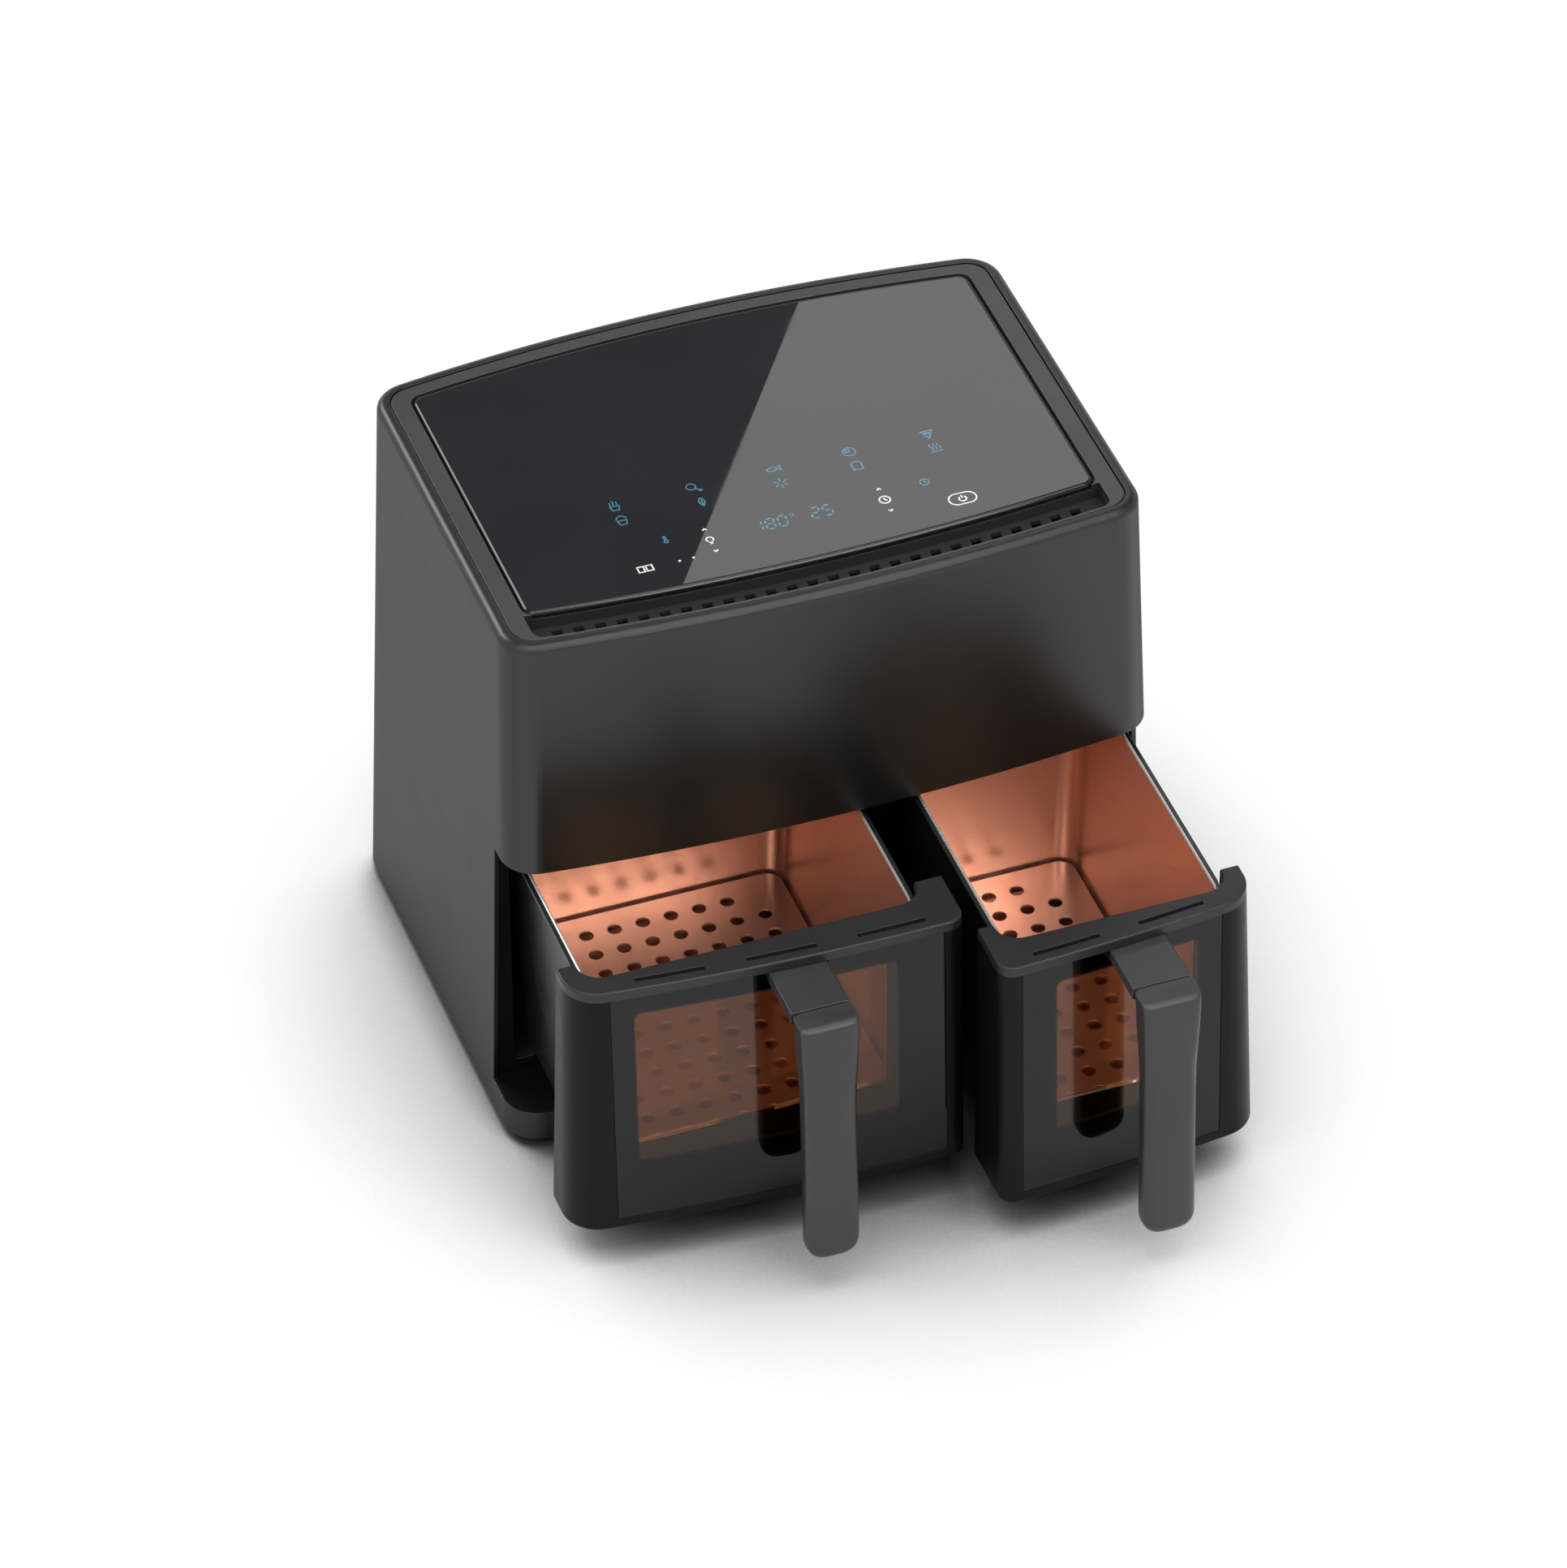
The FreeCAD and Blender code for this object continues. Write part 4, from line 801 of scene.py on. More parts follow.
SHELL = Moulded("charcoal_shell", hue("0f0f0f"), hue("242424"), roughness=0.32, spread=0.02, edge=0.0008,
                specular=0.62, side_roughness=0.6)
# The top frame's trough, below the glass top, gets painted shade
TOP_TRIM = Moulded("charcoal_top_trim", hue("2f2f2f"), hue("4a4a4a"), roughness=0.36, spread=0.06,
                   specular=0.75, deep=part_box("control_glass")[1].z - BELOW_GLASS)
FRONT = Moulded("near_black_front", hue("0d0d0d"), hue("1e1e1e"), roughness=0.36, spread=0.04, edge=0.0008,
                specular=0.14)
CAP = Moulded("charcoal_cap", hue("242425"), hue("3a3a3b"), roughness=0.4, spread=0.06, specular=0.45)
HANDLE = Moulded("satin_handle", hue("363636"), hue("565656"), roughness=0.36, spread=0.08, texture=2200.0,
                 edge=0.0009)
# The parts' own black, made darker and almost glossless so the gap round the drawers reads as deep shade:
# painted shade
BLACK = Moulded("near_black_moulding_with_gap_shade", hue("0a0a0a"), hue("141414"), roughness=0.6, texture=1200.0,
                depth=0.00004, specular=0.12)
REAR = Moulded("black_rear_moulding", hue("232426"), hue("3c3d40"), roughness=0.55, texture=900.0,
               depth=0.00007)
RUBBER = Moulded("matt_rubber", hue("1b1b1c"), hue("2c2c2d"), roughness=0.75, spread=0.12, texture=700.0,
                 depth=0.00006, edge=0.0008)
SILICONE = Moulded("grey_silicone", hue("3a3a3b"), hue("555556"), roughness=0.6, texture=800.0,
                   depth=0.00004, edge=0.0008)
CASE = Moulded("ivory_sensor_case", hue("b9b7ae"), hue("d2d0c8"), roughness=0.4, spread=0.08, texture=900.0,
               depth=0.00003, edge=0.0004)
LACQUER = Moulded("lacquered_motor", hue("3c3d3f"), hue("7d7d80"), roughness=0.32, texture=500.0,
                  depth=0.00004)
LINER = Sheet("liner_sheet", hue("a9a8a6"), hue("7c746c"), roughness=0.38, along=(16.0, 900.0, 16.0))
DECK_STEEL = Sheet("deck_sheet", hue("9a9a99"), hue("75736f"), roughness=0.42, along=(900.0, 16.0, 16.0))
HEATER = Sheet("heater_tube", hue("77716c"), hue("4a423d"), roughness=0.45, along=(60.0, 60.0, 60.0))
GUARD = Sheet("guard_sheet", hue("a3a19e"), hue("756b61"), roughness=0.36, along=(14.0, 900.0, 14.0))
ALUMINIUM = Sheet("fan_sheet", hue("c3c4c6"), hue("a0a0a0"), roughness=0.34, along=(300.0, 300.0, 20.0))
PLATED = Sheet("plated_steel", hue("b4b5b8"), hue("84847f"), roughness=0.3, along=(500.0, 500.0, 30.0))
# Pale steel, half of it diffuse, so the rolled rim shows as a bright line from every side: steel colour with
# a painted highlight
RIM = Sheet("rim_steel_painted_highlight", hue("dedad6"), hue("b8aea8"), roughness=0.26, along=(40.0, 900.0, 40.0),
            metallic=0.5)
MAGNET = Sheet("plated_magnet", hue("8f9094"), hue("67686a"), roughness=0.25, along=(90.0, 90.0, 90.0))
PLATE_COAT = NonStick("coated_plate", hue("e6bca8"), hue("f3dacf"), hue("2b2b2d"))
BULB = PrintedGlass("clear_inner_glass", hue("f2f4f4"), hue("e6eaea"))
TOP_GLASS = BlackGlass("black_control_glass", hue("161719"))
BLUE_LIGHT = Lit("blue_light", hue("64b2d6"), strength=0.62)
WHITE_LIGHT = Lit("white_light", hue("ffffff"), strength=0.95)
GREEN_BOARD = Board("green_board", hue("1f4a33"), hue("8a7a4a"))


# Meshes

def new_piece(name: str, mesh: bmesh.types.BMesh, body: str) -> Piece:
    """Make a piece of a mesh and let it ride on a body.

    Args:
        name: The piece's name.
        mesh: The mesh, which is freed.
        body: The body that the piece rides on.

    Returns:
        The new object.
    """
    data = bpy.data.meshes.new(name)
    bmesh.ops.recalc_face_normals(mesh, faces=mesh.faces)
    mesh.to_mesh(data)
    mesh.free()
    piece = bpy.data.objects.new(name, data)
    bpy.context.scene.collection.objects.link(piece)
    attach(piece, body)
    LOG.info("piece %s on %s", name, body)
    return piece


def arc(middle: Point, radius: float, start: float, end: float, count: int = 12) -> Stroke:
    """Return points along an arc.

    Args:
        middle: The arc's centre.
        radius: The arc's radius.
        start: The first angle in degrees.
        end: The last angle in degrees.
        count: How many steps the arc has.

    Returns:
        The arc's points, both ends included.
    """
    angles = [math.radians(start + (end - start) * step / count) for step in range(count + 1)]
    return [(middle[0] + radius * math.cos(angle), middle[1] + radius * math.sin(angle)) for angle in angles]


def ring(middle: Point, radius: float, count: int = 20) -> Stroke:
    """Return a closed circle of points."""
    return arc(middle, radius, 0.0, 360.0, count)


def rounding(reach: float, radius: float) -> float:
    """Return how far a rounded edge stands back at a distance from its end."""
    short = max(0.0, radius - reach)
    return radius - math.sqrt(radius * radius - short * short)


def loft(mesh: bmesh.types.BMesh, outlines: Sequence[Sequence[Vector]]) -> None:
    """Add a closed solid through outlines with as many points.

    Args:
        mesh: The mesh that takes the solid.
        outlines: The outlines from one end to the other.
    """
    rings = [[mesh.verts.new(point) for point in outline] for outline in outlines]
    for before, after in zip(rings, rings[1:]):
        for side in range(len(before)):
            along = (side + 1) % len(before)
            mesh.faces.new((before[side], before[along], after[along], after[side])).smooth = True
    mesh.faces.new(rings[0])
    mesh.faces.new(rings[-1])


def sweep(mesh: bmesh.types.BMesh, path: Sequence[Vector], radius: float, sides: int = 12) -> None:
    """Add a closed-ended round bar along a level path.

    Args:
        mesh: The mesh that takes the bar.
        path: The points of its centre line.
        radius: The bar's radius.
        sides: How many faces go round it.
    """
    turns = [2 * math.pi * side / sides for side in range(sides)]
    outlines = []
    for index, point in enumerate(path):
        onward = path[min(index + 1, len(path) - 1)] - path[max(index - 1, 0)]
        across = Vector((onward.y, -onward.x, 0.0)).normalized()
        spots = [point + across * radius * math.cos(turn) for turn in turns]
        rises = [Vector((0, 0, radius * math.sin(turn))) for turn in turns]
        outlines.append([spot + rise for spot, rise in zip(spots, rises)])
    loft(mesh, outlines)


def crease(data: bpy.types.Mesh, angle: float) -> None:
    """Shade a mesh smooth but for its sharp edges.

    Args:
        data: The mesh.
        angle: The turn from which an edge counts as sharp.
    """
    mesh = bmesh.new()
    mesh.from_mesh(data)
    for face in mesh.faces:
        face.smooth = True
    for edge in mesh.edges:
        edge.smooth = edge.calc_face_angle(math.pi) < angle
    mesh.to_mesh(data)
    mesh.free()


class FlatWork:
    """Flat marks on a level surface: outlines drawn with a line width, and filled shapes."""

    def __init__(self, level: float, thickness: float = 0.00006) -> None:
        """Start an empty drawing.

        Args:
            level: The height of the surface.
            thickness: How thick the marks are.
        """
        self.mesh = bmesh.new()
        self.level = level
        self.thickness = thickness

    def slab(self, outline: Iterable[Point]) -> None:
        """Add a filled shape as a thin closed solid.

        Args:
            outline: Its corners in order.
        """
        corners = list(outline)
        low = [self.mesh.verts.new((x, y, self.level)) for x, y in corners]
        high = [self.mesh.verts.new((x, y, self.level + self.thickness)) for x, y in corners]
        self.mesh.faces.new(high)
        self.mesh.faces.new(list(reversed(low)))
        for index, corner in enumerate(low):
            after = (index + 1) % len(low)
            self.mesh.faces.new((corner, low[after], high[after], high[index]))

    def line(self, points: Stroke, width: float) -> None:
        """Add a line of even width along points; it closes where its ends meet.

        Args:
            points: The middle of the line.
            width: How wide the line is.
        """
        closed = math.dist(points[0], points[-1]) < SAME_PLACE
        spine = [Vector(point) for point in (points[:-1] if closed else points)]
        count = len(spine)
        left, right = [], []
        for index, point in enumerate(spine):
            before = spine[index - 1] if closed or index else point
            after = spine[(index + 1) % count] if closed or index < count - 1 else point
            coming, going = point - before, after - point
            enter = (coming if coming.length else going).normalized()
            leave = going.normalized() if going.length else enter
            across = Vector((-(enter + leave).y, (enter + leave).x)).normalized()
            reach = width / 2 / max(MITRE_LIMIT, across.dot(Vector((-enter.y, enter.x))))
            left.append(tuple(point + across * reach))
            right.append(tuple(point - across * reach))
        if not closed:
            self.slab(left + right[::-1])
            return
        self.band(left, right)

    def band(self, outer: Sequence[Point], inner: Sequence[Point]) -> None:
        """Add the closed band between two outlines with as many corners.

        Args:
            outer: The corners outside.
            inner: The corners inside.
        """
        top, bottom = self.level + self.thickness, self.level
        rows = [[self.mesh.verts.new((x, y, z)) for x, y in line] for line, z in
                ((outer, bottom), (outer, top), (inner, top), (inner, bottom))]
        for first, second in zip(rows, rows[1:] + rows[:1]):
            for index in range(len(first)):
                after = (index + 1) % len(first)
                self.mesh.faces.new((first[index], first[after], second[after], second[index]))


# Control marks, each drawn in a square that runs from -1 to 1

class Mark(Enum):
    """The pictures on the control glass."""

    FRIES = "fries"
    LEG = "leg"
    FISH = "fish"
    STEAK = "steak"
    SLICE = "slice"
    CUPCAKE = "cupcake"
    LEAF = "leaf"
    FROST = "frost"
    LOAF = "loaf"
    WARM = "warm"
    HEAT = "heat"
    CLOCK = "clock"
    POWER = "power"
    MATCH = "match"
    LAMP = "lamp"
    UP = "up"
    DOWN = "down"


# A picture with its middle and half the side of its square
Picture = tuple[Mark, Point, float]


def wave(x: float, low: float, high: float, sway: float = 0.14, steps: int = 10) -> Stroke:
    """Return an upright wavy line."""
    shares = [step / steps for step in range(steps + 1)]
    return [(x + sway * math.sin(2 * math.pi * share), low + (high - low) * share) for share in shares]


def mark_strokes(mark: Mark) -> list[Stroke]:
    """Return the lines of a picture.

    Args:
        mark: Which picture.

    Returns:
        Its lines; a line whose ends meet is closed.
    """
    spokes = [[(0.3 * math.cos(turn), 0.3 * math.sin(turn)), (math.cos(turn), math.sin(turn))]
              for turn in (math.radians(60 * step + 30) for step in range(6))]
    fin = [(0.45, 0.0), (0.95, 0.45), (0.95, -0.45), (0.45, 0.0)]
    cup = [(-0.6, -0.1), (0.6, -0.1), (0.42, -0.9), (-0.42, -0.9), (-0.6, -0.1)]
    pictures = {
        Mark.FRIES: [cup] + [[(x, 0.1), (x * 1.15, top)]
                             for x, top in ((-0.4, 0.7), (0.0, 0.95), (0.4, 0.75))],
        Mark.LEG: [ring((-0.25, 0.25), 0.6), [(0.2, -0.2), (0.6, -0.6)], ring((0.72, -0.72), 0.16)],
        Mark.FISH: [arc((-0.2, -0.55), 0.9, 40, 140) + arc((-0.2, 0.55), 0.9, 220, 320), fin],
        Mark.STEAK: [ring((0.0, 0.0), 0.82), ring((-0.2, 0.2), 0.28)],
        Mark.SLICE: [[(-0.75, 0.6), (0.75, 0.6), (0.0, -0.9), (-0.75, 0.6)], ring((-0.2, 0.2), 0.14),
                     ring((0.22, 0.1), 0.14)],
        Mark.CUPCAKE: [cup, arc((0.0, 0.12), 0.66, 0, 180)],
        Mark.LEAF: [arc((-0.5, 0.0), 0.95, -52, 52) + arc((0.68, 0.0), 0.95, 128, 232),
                    [(0.09, -0.95), (0.09, 0.35)]],
        Mark.FROST: spokes,
        Mark.LOAF: [[(-0.6, 0.05), (-0.6, -0.75), (0.6, -0.75), (0.6, 0.05)] + arc((0.0, 0.2), 0.72, 0, 180)
                    + [(-0.6, 0.05)]],
        Mark.WARM: [wave(x, -0.35, 0.85) for x in (-0.5, 0.0, 0.5)] + [[(-0.8, -0.7), (0.8, -0.7)]],
        Mark.HEAT: [ring((0.0, -0.55), 0.34), [(-0.16, -0.2), (-0.16, 0.85), (0.16, 0.85), (0.16, -0.2)]],
        Mark.CLOCK: [ring((0.0, 0.0), 0.85, 28), [(0.0, 0.5), (0.0, 0.0), (0.38, -0.2)]],
        Mark.POWER: [arc((0.0, -0.08), 0.72, 125, 415, 22), [(0.0, 0.2), (0.0, 0.95)]],
        Mark.MATCH: [[(-0.9, -0.5), (-0.15, -0.5), (-0.15, 0.5), (-0.9, 0.5), (-0.9, -0.5)],
                     [(0.15, -0.5), (0.9, -0.5), (0.9, 0.5), (0.15, 0.5), (0.15, -0.5)]],
        Mark.LAMP: [arc((0.0, 0.2), 0.55, -55, 235, 20), [(-0.3, -0.5), (0.3, -0.5)],
                    [(-0.2, -0.8), (0.2, -0.8)]],
        Mark.UP: [[(-0.5, -0.2), (0.0, 0.35), (0.5, -0.2)]],
        Mark.DOWN: [[(-0.5, 0.2), (0.0, -0.35), (0.5, 0.2)]],
    }
    return pictures[mark]


# Which bars of a seven-bar digit are lit
# They go round from the top: top, upper right, lower right, bottom, lower left, upper left, then the middle
DIGIT_BARS = {
    "0": (1, 1, 1, 1, 1, 1, 0), "1": (0, 1, 1, 0, 0, 0, 0), "2": (1, 1, 0, 1, 1, 0, 1),
    "5": (1, 0, 1, 1, 0, 1, 1), "8": (1, 1, 1, 1, 1, 1, 1),
}


@dataclass
class ControlTop:
    """The top of the housing: its frame, the control glass and the lit marks, in metres."""

    shift_y: float = 97.234 * MM
    modes: tuple[Mark, ...] = (Mark.FRIES, Mark.LEG, Mark.FISH, Mark.STEAK, Mark.SLICE,
                               Mark.CUPCAKE, Mark.LEAF, Mark.FROST, Mark.LOAF, Mark.WARM)
    mode_x: tuple[float, ...] = (-0.090, -0.044, 0.0025, 0.047, 0.093)
    mode_y: tuple[float, float] = (-0.022, -0.035)
    mode_size: float = 0.0044
    mode_line: float = 0.0007
    numbers: tuple[tuple[str, Point], ...] = (("180", (-0.0150, -0.0660)), ("25", (0.0150, -0.0655)))
    digit_size: Point = (0.0048, 0.0088)
    digit_lean: float = 0.08
    digit_bar: float = 0.0011
    digit_inset: float = 0.62
    digit_pitch: float = 0.0072
    degree_place: Point = (-0.0015, -0.0625)
    degree_radius: float = 0.0011
    degree_line: float = 0.0005
    signs: tuple[Picture, ...] = (
        (Mark.HEAT, (-0.0733, -0.0592), 0.0032), (Mark.CLOCK, (0.0767, -0.0610), 0.0030),
    )
    buttons: tuple[Picture, ...] = (
        (Mark.LAMP, (-0.0505, -0.0680), 0.0036), (Mark.CLOCK, (0.0509, -0.0680), 0.0036),
        (Mark.UP, (-0.0505, -0.0585), 0.0024), (Mark.UP, (0.0509, -0.0585), 0.0024),
        (Mark.DOWN, (-0.0505, -0.0775), 0.0024), (Mark.DOWN, (0.0509, -0.0775), 0.0024),
        (Mark.MATCH, (-0.0917, -0.0790), 0.0046), (Mark.POWER, (0.0913, -0.0815), 0.0029),
    )
    button_line: float = 0.0009
    dots: tuple[Point, ...] = ((-0.0720, -0.0790), (-0.0640, -0.0790))
    dot_radius: float = 0.0008
    pill_ends: tuple[Point, Point] = ((0.0945, -0.0815), (0.0881, -0.0815))
    pill_radius: float = 0.0047

    def shifted(self, points: Iterable[Point]) -> Stroke:
        """Return points moved by the housing's shift."""
        return [(x, y + self.shift_y) for x, y in points]

    def picture(self, work: FlatWork, mark: Mark, place: Point, size: float, width: float) -> None:
        """Draw one picture.

        Args:
            work: The drawing.
            mark: Which picture.
            place: Its middle, before the housing's shift.
            size: Half the side of its square.
            width: The line width.
        """
        for stroke in mark_strokes(mark):
            work.line([(place[0] + size * x, place[1] + self.shift_y + size * y) for x, y in stroke], width)

    def digit(self, work: FlatWork, figure: str, place: Point) -> None:
        """Draw one seven-bar digit about its middle.

        Args:
            work: The drawing.
            figure: Which digit.
            place: Its middle, before the housing's shift.
        """
        wide, high = self.digit_size[0] / 2, self.digit_size[1] / 2
        corners = {"a": (-wide, high), "b": (wide, high), "c": (wide, 0.0), "d": (wide, -high),
                   "e": (-wide, -high), "f": (-wide, 0.0)}
        for lit, (start, end) in zip(DIGIT_BARS[figure], ("ab", "bc", "cd", "ed", "fe", "af", "fc")):
            if not lit:
                continue
            first, last = Vector(corners[start]), Vector(corners[end])
            run = (last - first).normalized()
            inset = self.digit_bar * self.digit_inset
            first, last = first + run * inset, last - run * inset
            across = Vector((-run.y, run.x)) * self.digit_bar / 2
            tip = run * self.digit_bar / 2
            outline = [first, first + tip + across, last - tip + across, last, last - tip - across,
                       first + tip - across]
            work.slab([(place[0] + spot.x + self.digit_lean * spot.y, place[1] + self.shift_y + spot.y)
                       for spot in outline])

    def number(self, work: FlatWork, figures: str, middle: Point) -> None:
        """Draw a row of digits about a middle.

        Args:
            work: The drawing.
            figures: The digits.
            middle: The row's middle, before the housing's shift.
        """
        first = middle[0] - self.digit_pitch * (len(figures) - 1) / 2
        for index, figure in enumerate(figures):
            self.digit(work, figure, (first + index * self.digit_pitch, middle[1]))

    def build(self) -> Pieces:
        """Build the lit marks.

        Returns:
            The blue and the white marks.
        """
        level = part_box("control_glass")[1].z
        blue = FlatWork(level)
        places = [(x, y) for y in self.mode_y for x in self.mode_x]
        for mark, place in zip(self.modes, places):
            self.picture(blue, mark, place, self.mode_size, self.mode_line)
        for figures, middle in self.numbers:
            self.number(blue, figures, middle)
        blue.line(self.shifted(ring(self.degree_place, self.degree_radius, count=14)), self.degree_line)
        for mark, place, size in self.signs:
            self.picture(blue, mark, place, size, self.mode_line)
        white = FlatWork(level)
        for mark, place, size in self.buttons:
            self.picture(white, mark, place, size, self.button_line)
        for place in self.dots:
            white.slab(self.shifted(ring(place, self.dot_radius, count=12)[:-1]))
        first, last = self.pill_ends
        pill = arc(first, self.pill_radius, -90, 90) + arc(last, self.pill_radius, 90, 270)
        white.line(self.shifted(pill + pill[:1]), self.button_line)
        return {"blue": new_piece("lit_marks_blue", blue.mesh, "housing"),
                "white": new_piece("lit_marks_white", white.mesh, "housing")}

    def dress(self, made: Pieces, nodes: Pieces) -> None:
        """Give the top's pieces their finishes.

        Args:
            made: The lit marks by colour.
            nodes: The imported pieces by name.
        """
        BLUE_LIGHT.coat(made["blue"])
        WHITE_LIGHT.coat(made["white"])
        TOP_TRIM.coat(nodes["top_frame"])
        TOP_GLASS.coat(nodes["control_glass"])
        GREEN_BOARD.coat(nodes["touch_board"])


@dataclass
class Housing:
    """The shell with what is screwed to it or stands inside it."""

    finishes: tuple[tuple[Finish, tuple[str, ...]], ...] = (
        (SHELL, ("outer_shell",)),
        (REAR, ("rear_cover", "base_pan")),
        (PLATED, ("rear_screws", "base_screws", "temperature_sensors")),
        (RUBBER, ("cord_gland", "rubber_feet")),
        (BLACK, ("front_frame",)),
        (CASE, ("drawer_sensors",)),
        (DECK_STEEL, ("deck",)),
        (GREEN_BOARD, ("power_board",)),
    )

    def dress(self, nodes: Pieces) -> None:
        """Give the housing's pieces their finishes."""
        for finish, names in self.finishes:
            finish.coat(*(nodes[name] for name in names))


@dataclass
class HeatZone:
    """One cavity with its heater, motor and fans."""

    side: Side

    def dress(self, nodes: Pieces) -> None:
        """Give the zone's pieces their finishes.

        Args:
            nodes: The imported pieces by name.
        """
        finishes = ((LINER, ("cavity", "runners")), (BLACK, ("exhaust_duct", "cooling_fan")),
                    (HEATER, ("heater",)), (GUARD, ("heater_guard",)), (LACQUER, ("motor",)),
                    (PLATED, ("motor_shaft",)), (ALUMINIUM, ("hot_fan",)))
        for finish, names in finishes:
            finish.coat(*(nodes[f"{self.side.value}_{name}"] for name in names))


@dataclass
class Drawer:
    """One drawer with its glass front, handle, basket and plate, in metres."""

    side: Side
    wall: float = 0.0015
    flange: float = 0.0025
    flange_corner: float = 0.016
    corner: float = 0.012
    foot: float = 0.009
    lean: float = 5.0 / 152.0
    bead: float = 0.0009
    bead_inset: float = 0.0033
    bead_drop: float = 0.0002
    front_inset: float = 0.001
    corner_steps: int = 8
    grip_depth: float = 0.01702
    grip_lean: float = math.tan(math.radians(2.6))
    grip_foot: float = 0.011
    grip_edge: float = 0.007
    grip_fold: float = 0.0045
    grip_waist: float = 0.0016
    grip_flare: float = 0.06
    grip_power: tuple[float, float] = (6.5, 3.2)
    grip_sides: int = 64
    grip_foot_steps: int = 10
    grip_bar_steps: int = 24
    grip_fold_steps: int = 9
    grip_crease: float = math.radians(35.0)

    def name(self, piece: str) -> str:
        """Return a piece's full name."""
        return f"{self.side.value}_{piece}"

    def pan(self) -> PanShape:
        """Return where the basket's inside lies, from its node's box.

        Returns:
            The pan's shape.
        """
        low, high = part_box(self.name("basket"))
        edge = self.flange + self.wall / 2
        return PanShape(middle_x=(low.x + high.x) / 2, half_width=(high.x - low.x) / 2 - edge,
                        front=low.y + self.wall / 2, back=high.y - edge, floor=low.z + self.wall / 2,
                        rim=high.z, lean=self.lean, corner=self.corner + self.wall / 2,
                        foot=self.foot + self.wall / 2)

    def build(self) -> Piece:
        """Build the rolled rim round the basket's sides, back and corners.

        Returns:
            The rim.
        """
        low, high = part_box(self.name("basket"))
        inset, turn = self.bead_inset, self.flange_corner
        left, right, back = low.x + inset, high.x - inset, high.y - inset
        round_by = turn - inset
        front, near = low.y + self.front_inset, self.corner
        plan = arc((left + near, front + near), near, 250, 180, self.corner_steps)
        plan += arc((left + round_by, back - round_by), round_by, 180, 90, self.corner_steps)
        plan += arc((right - round_by, back - round_by), round_by, 90, 0, self.corner_steps)
        plan += arc((right - near, front + near), near, 360, 290, self.corner_steps)
        mesh = bmesh.new()
        sweep(mesh, [Vector((x, y, high.z - self.bead_drop)) for x, y in plan], self.bead)
        return new_piece(self.name("rolled_rim"), mesh, self.name("drawer"))

    def grip_section(self, z: float) -> list[Vector]:
        """Return the grip's outline at a height: a crowned oval that leans, with a rounded foot and fold.

        Args:
            z: The height.

        Returns:
            The outline's points in order.
        """
        low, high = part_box(self.name("handle_grip"))
        up, down = z - low.z, high.z - z
        share = min(1.0, down / self.grip_flare)
        blend = share * share * (3.0 - 2.0 * share)
        power = self.grip_power[0] + (self.grip_power[1] - self.grip_power[0]) * blend
        half_x = (high.x - low.x) / 2 - self.grip_waist * blend - rounding(up, self.grip_foot)
        lean = low.y + (up - self.grip_edge) * self.grip_lean
        front = lean + rounding(up, self.grip_edge) + rounding(down, self.grip_fold)
        back = lean + self.grip_depth - rounding(up, self.grip_edge)
        middle = Vector(((low.x + high.x) / 2, (front + back) / 2, z))
        points = []
        for side in range(self.grip_sides):
            turn = 2 * math.pi * side / self.grip_sides
            across, along = (math.copysign(abs(part) ** (2.0 / power), part)
                             for part in (math.cos(turn), math.sin(turn)))
            points.append(middle + Vector((half_x * across, (back - front) / 2 * along, 0.0)))
        return points

    def build_grip(self, arm: Piece) -> Piece:
        """Build the crowned grip with a pocket for the arm's tongue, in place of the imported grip.

        Args:
            arm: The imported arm.

        Returns:
            The grip.
        """
        low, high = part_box(self.name("handle_grip"))
        foot_turns = arc((0.0, 0.0), 1.0, 0, 90, self.grip_foot_steps)
        fold_turns = arc((0.0, 0.0), 1.0, 0, 90, self.grip_fold_steps)
        foot = [low.z + self.grip_foot * (1 - cosine) for cosine, _ in foot_turns]
        fold = [high.z - self.grip_fold * (1 - sine) for _, sine in fold_turns]
        span, count = fold[0] - foot[-1], self.grip_bar_steps
        levels = foot + [foot[-1] + span * step / count for step in range(1, count)] + fold
        mesh = bmesh.new()
        loft(mesh, [self.grip_section(z) for z in levels])
        grip = new_piece(self.name("crowned_grip"), mesh, self.name("drawer"))
        pocket = grip.modifiers.new("tongue_pocket", "BOOLEAN")
        pocket.object = arm
        pocket.solver = "EXACT"
        cut = bpy.data.meshes.new_from_object(grip.evaluated_get(bpy.context.evaluated_depsgraph_get()))
        grip.modifiers.clear()
        crease(cut, self.grip_crease)
        cut.materials.clear()
        uncut = grip.data
        grip.data = cut
        bpy.data.meshes.remove(uncut)
        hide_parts(self.name("handle_grip"))
        return grip

    def dress(self, rim: Piece, grip: Piece, nodes: Pieces) -> None:
        """Give the drawer's pieces their finishes.

        Args:
            rim: The rolled rim.
            grip: The crowned grip.
            nodes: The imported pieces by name.
        """
        low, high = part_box(self.name("inner_glass"))
        window = (low.x, high.x, low.z, high.z)
        tinted = PrintedGlass(self.name("tinted_glass"), hue("e4ae84"), hue("0d0d0e"), window)
        pan = self.pan()
        basket = NonStick(self.name("coated_basket"), hue("e6bca8"), hue("f3dacf"), hue("1e1e1f"), pan)
        finishes = ((FRONT, ("drawer_front",)), (tinted, ("front_glass",)), (CAP, ("drawer_cap",)),
                    (BLACK, ("drawer_back", "window_seal")), (BULB, ("inner_glass",)), (MAGNET, ("magnet",)),
                    (HANDLE, ("handle_arm", "handle_grip")), (PLATED, ("handle_screws",)),
                    (basket, ("basket",)), (PLATE_COAT, ("crisper_plate",)), (SILICONE, ("plate_bumpers",)))
        for finish, names in finishes:
            finish.coat(*(nodes[self.name(name)] for name in names))
        RIM.coat(rim)
        HANDLE.coat(grip)


# Studio

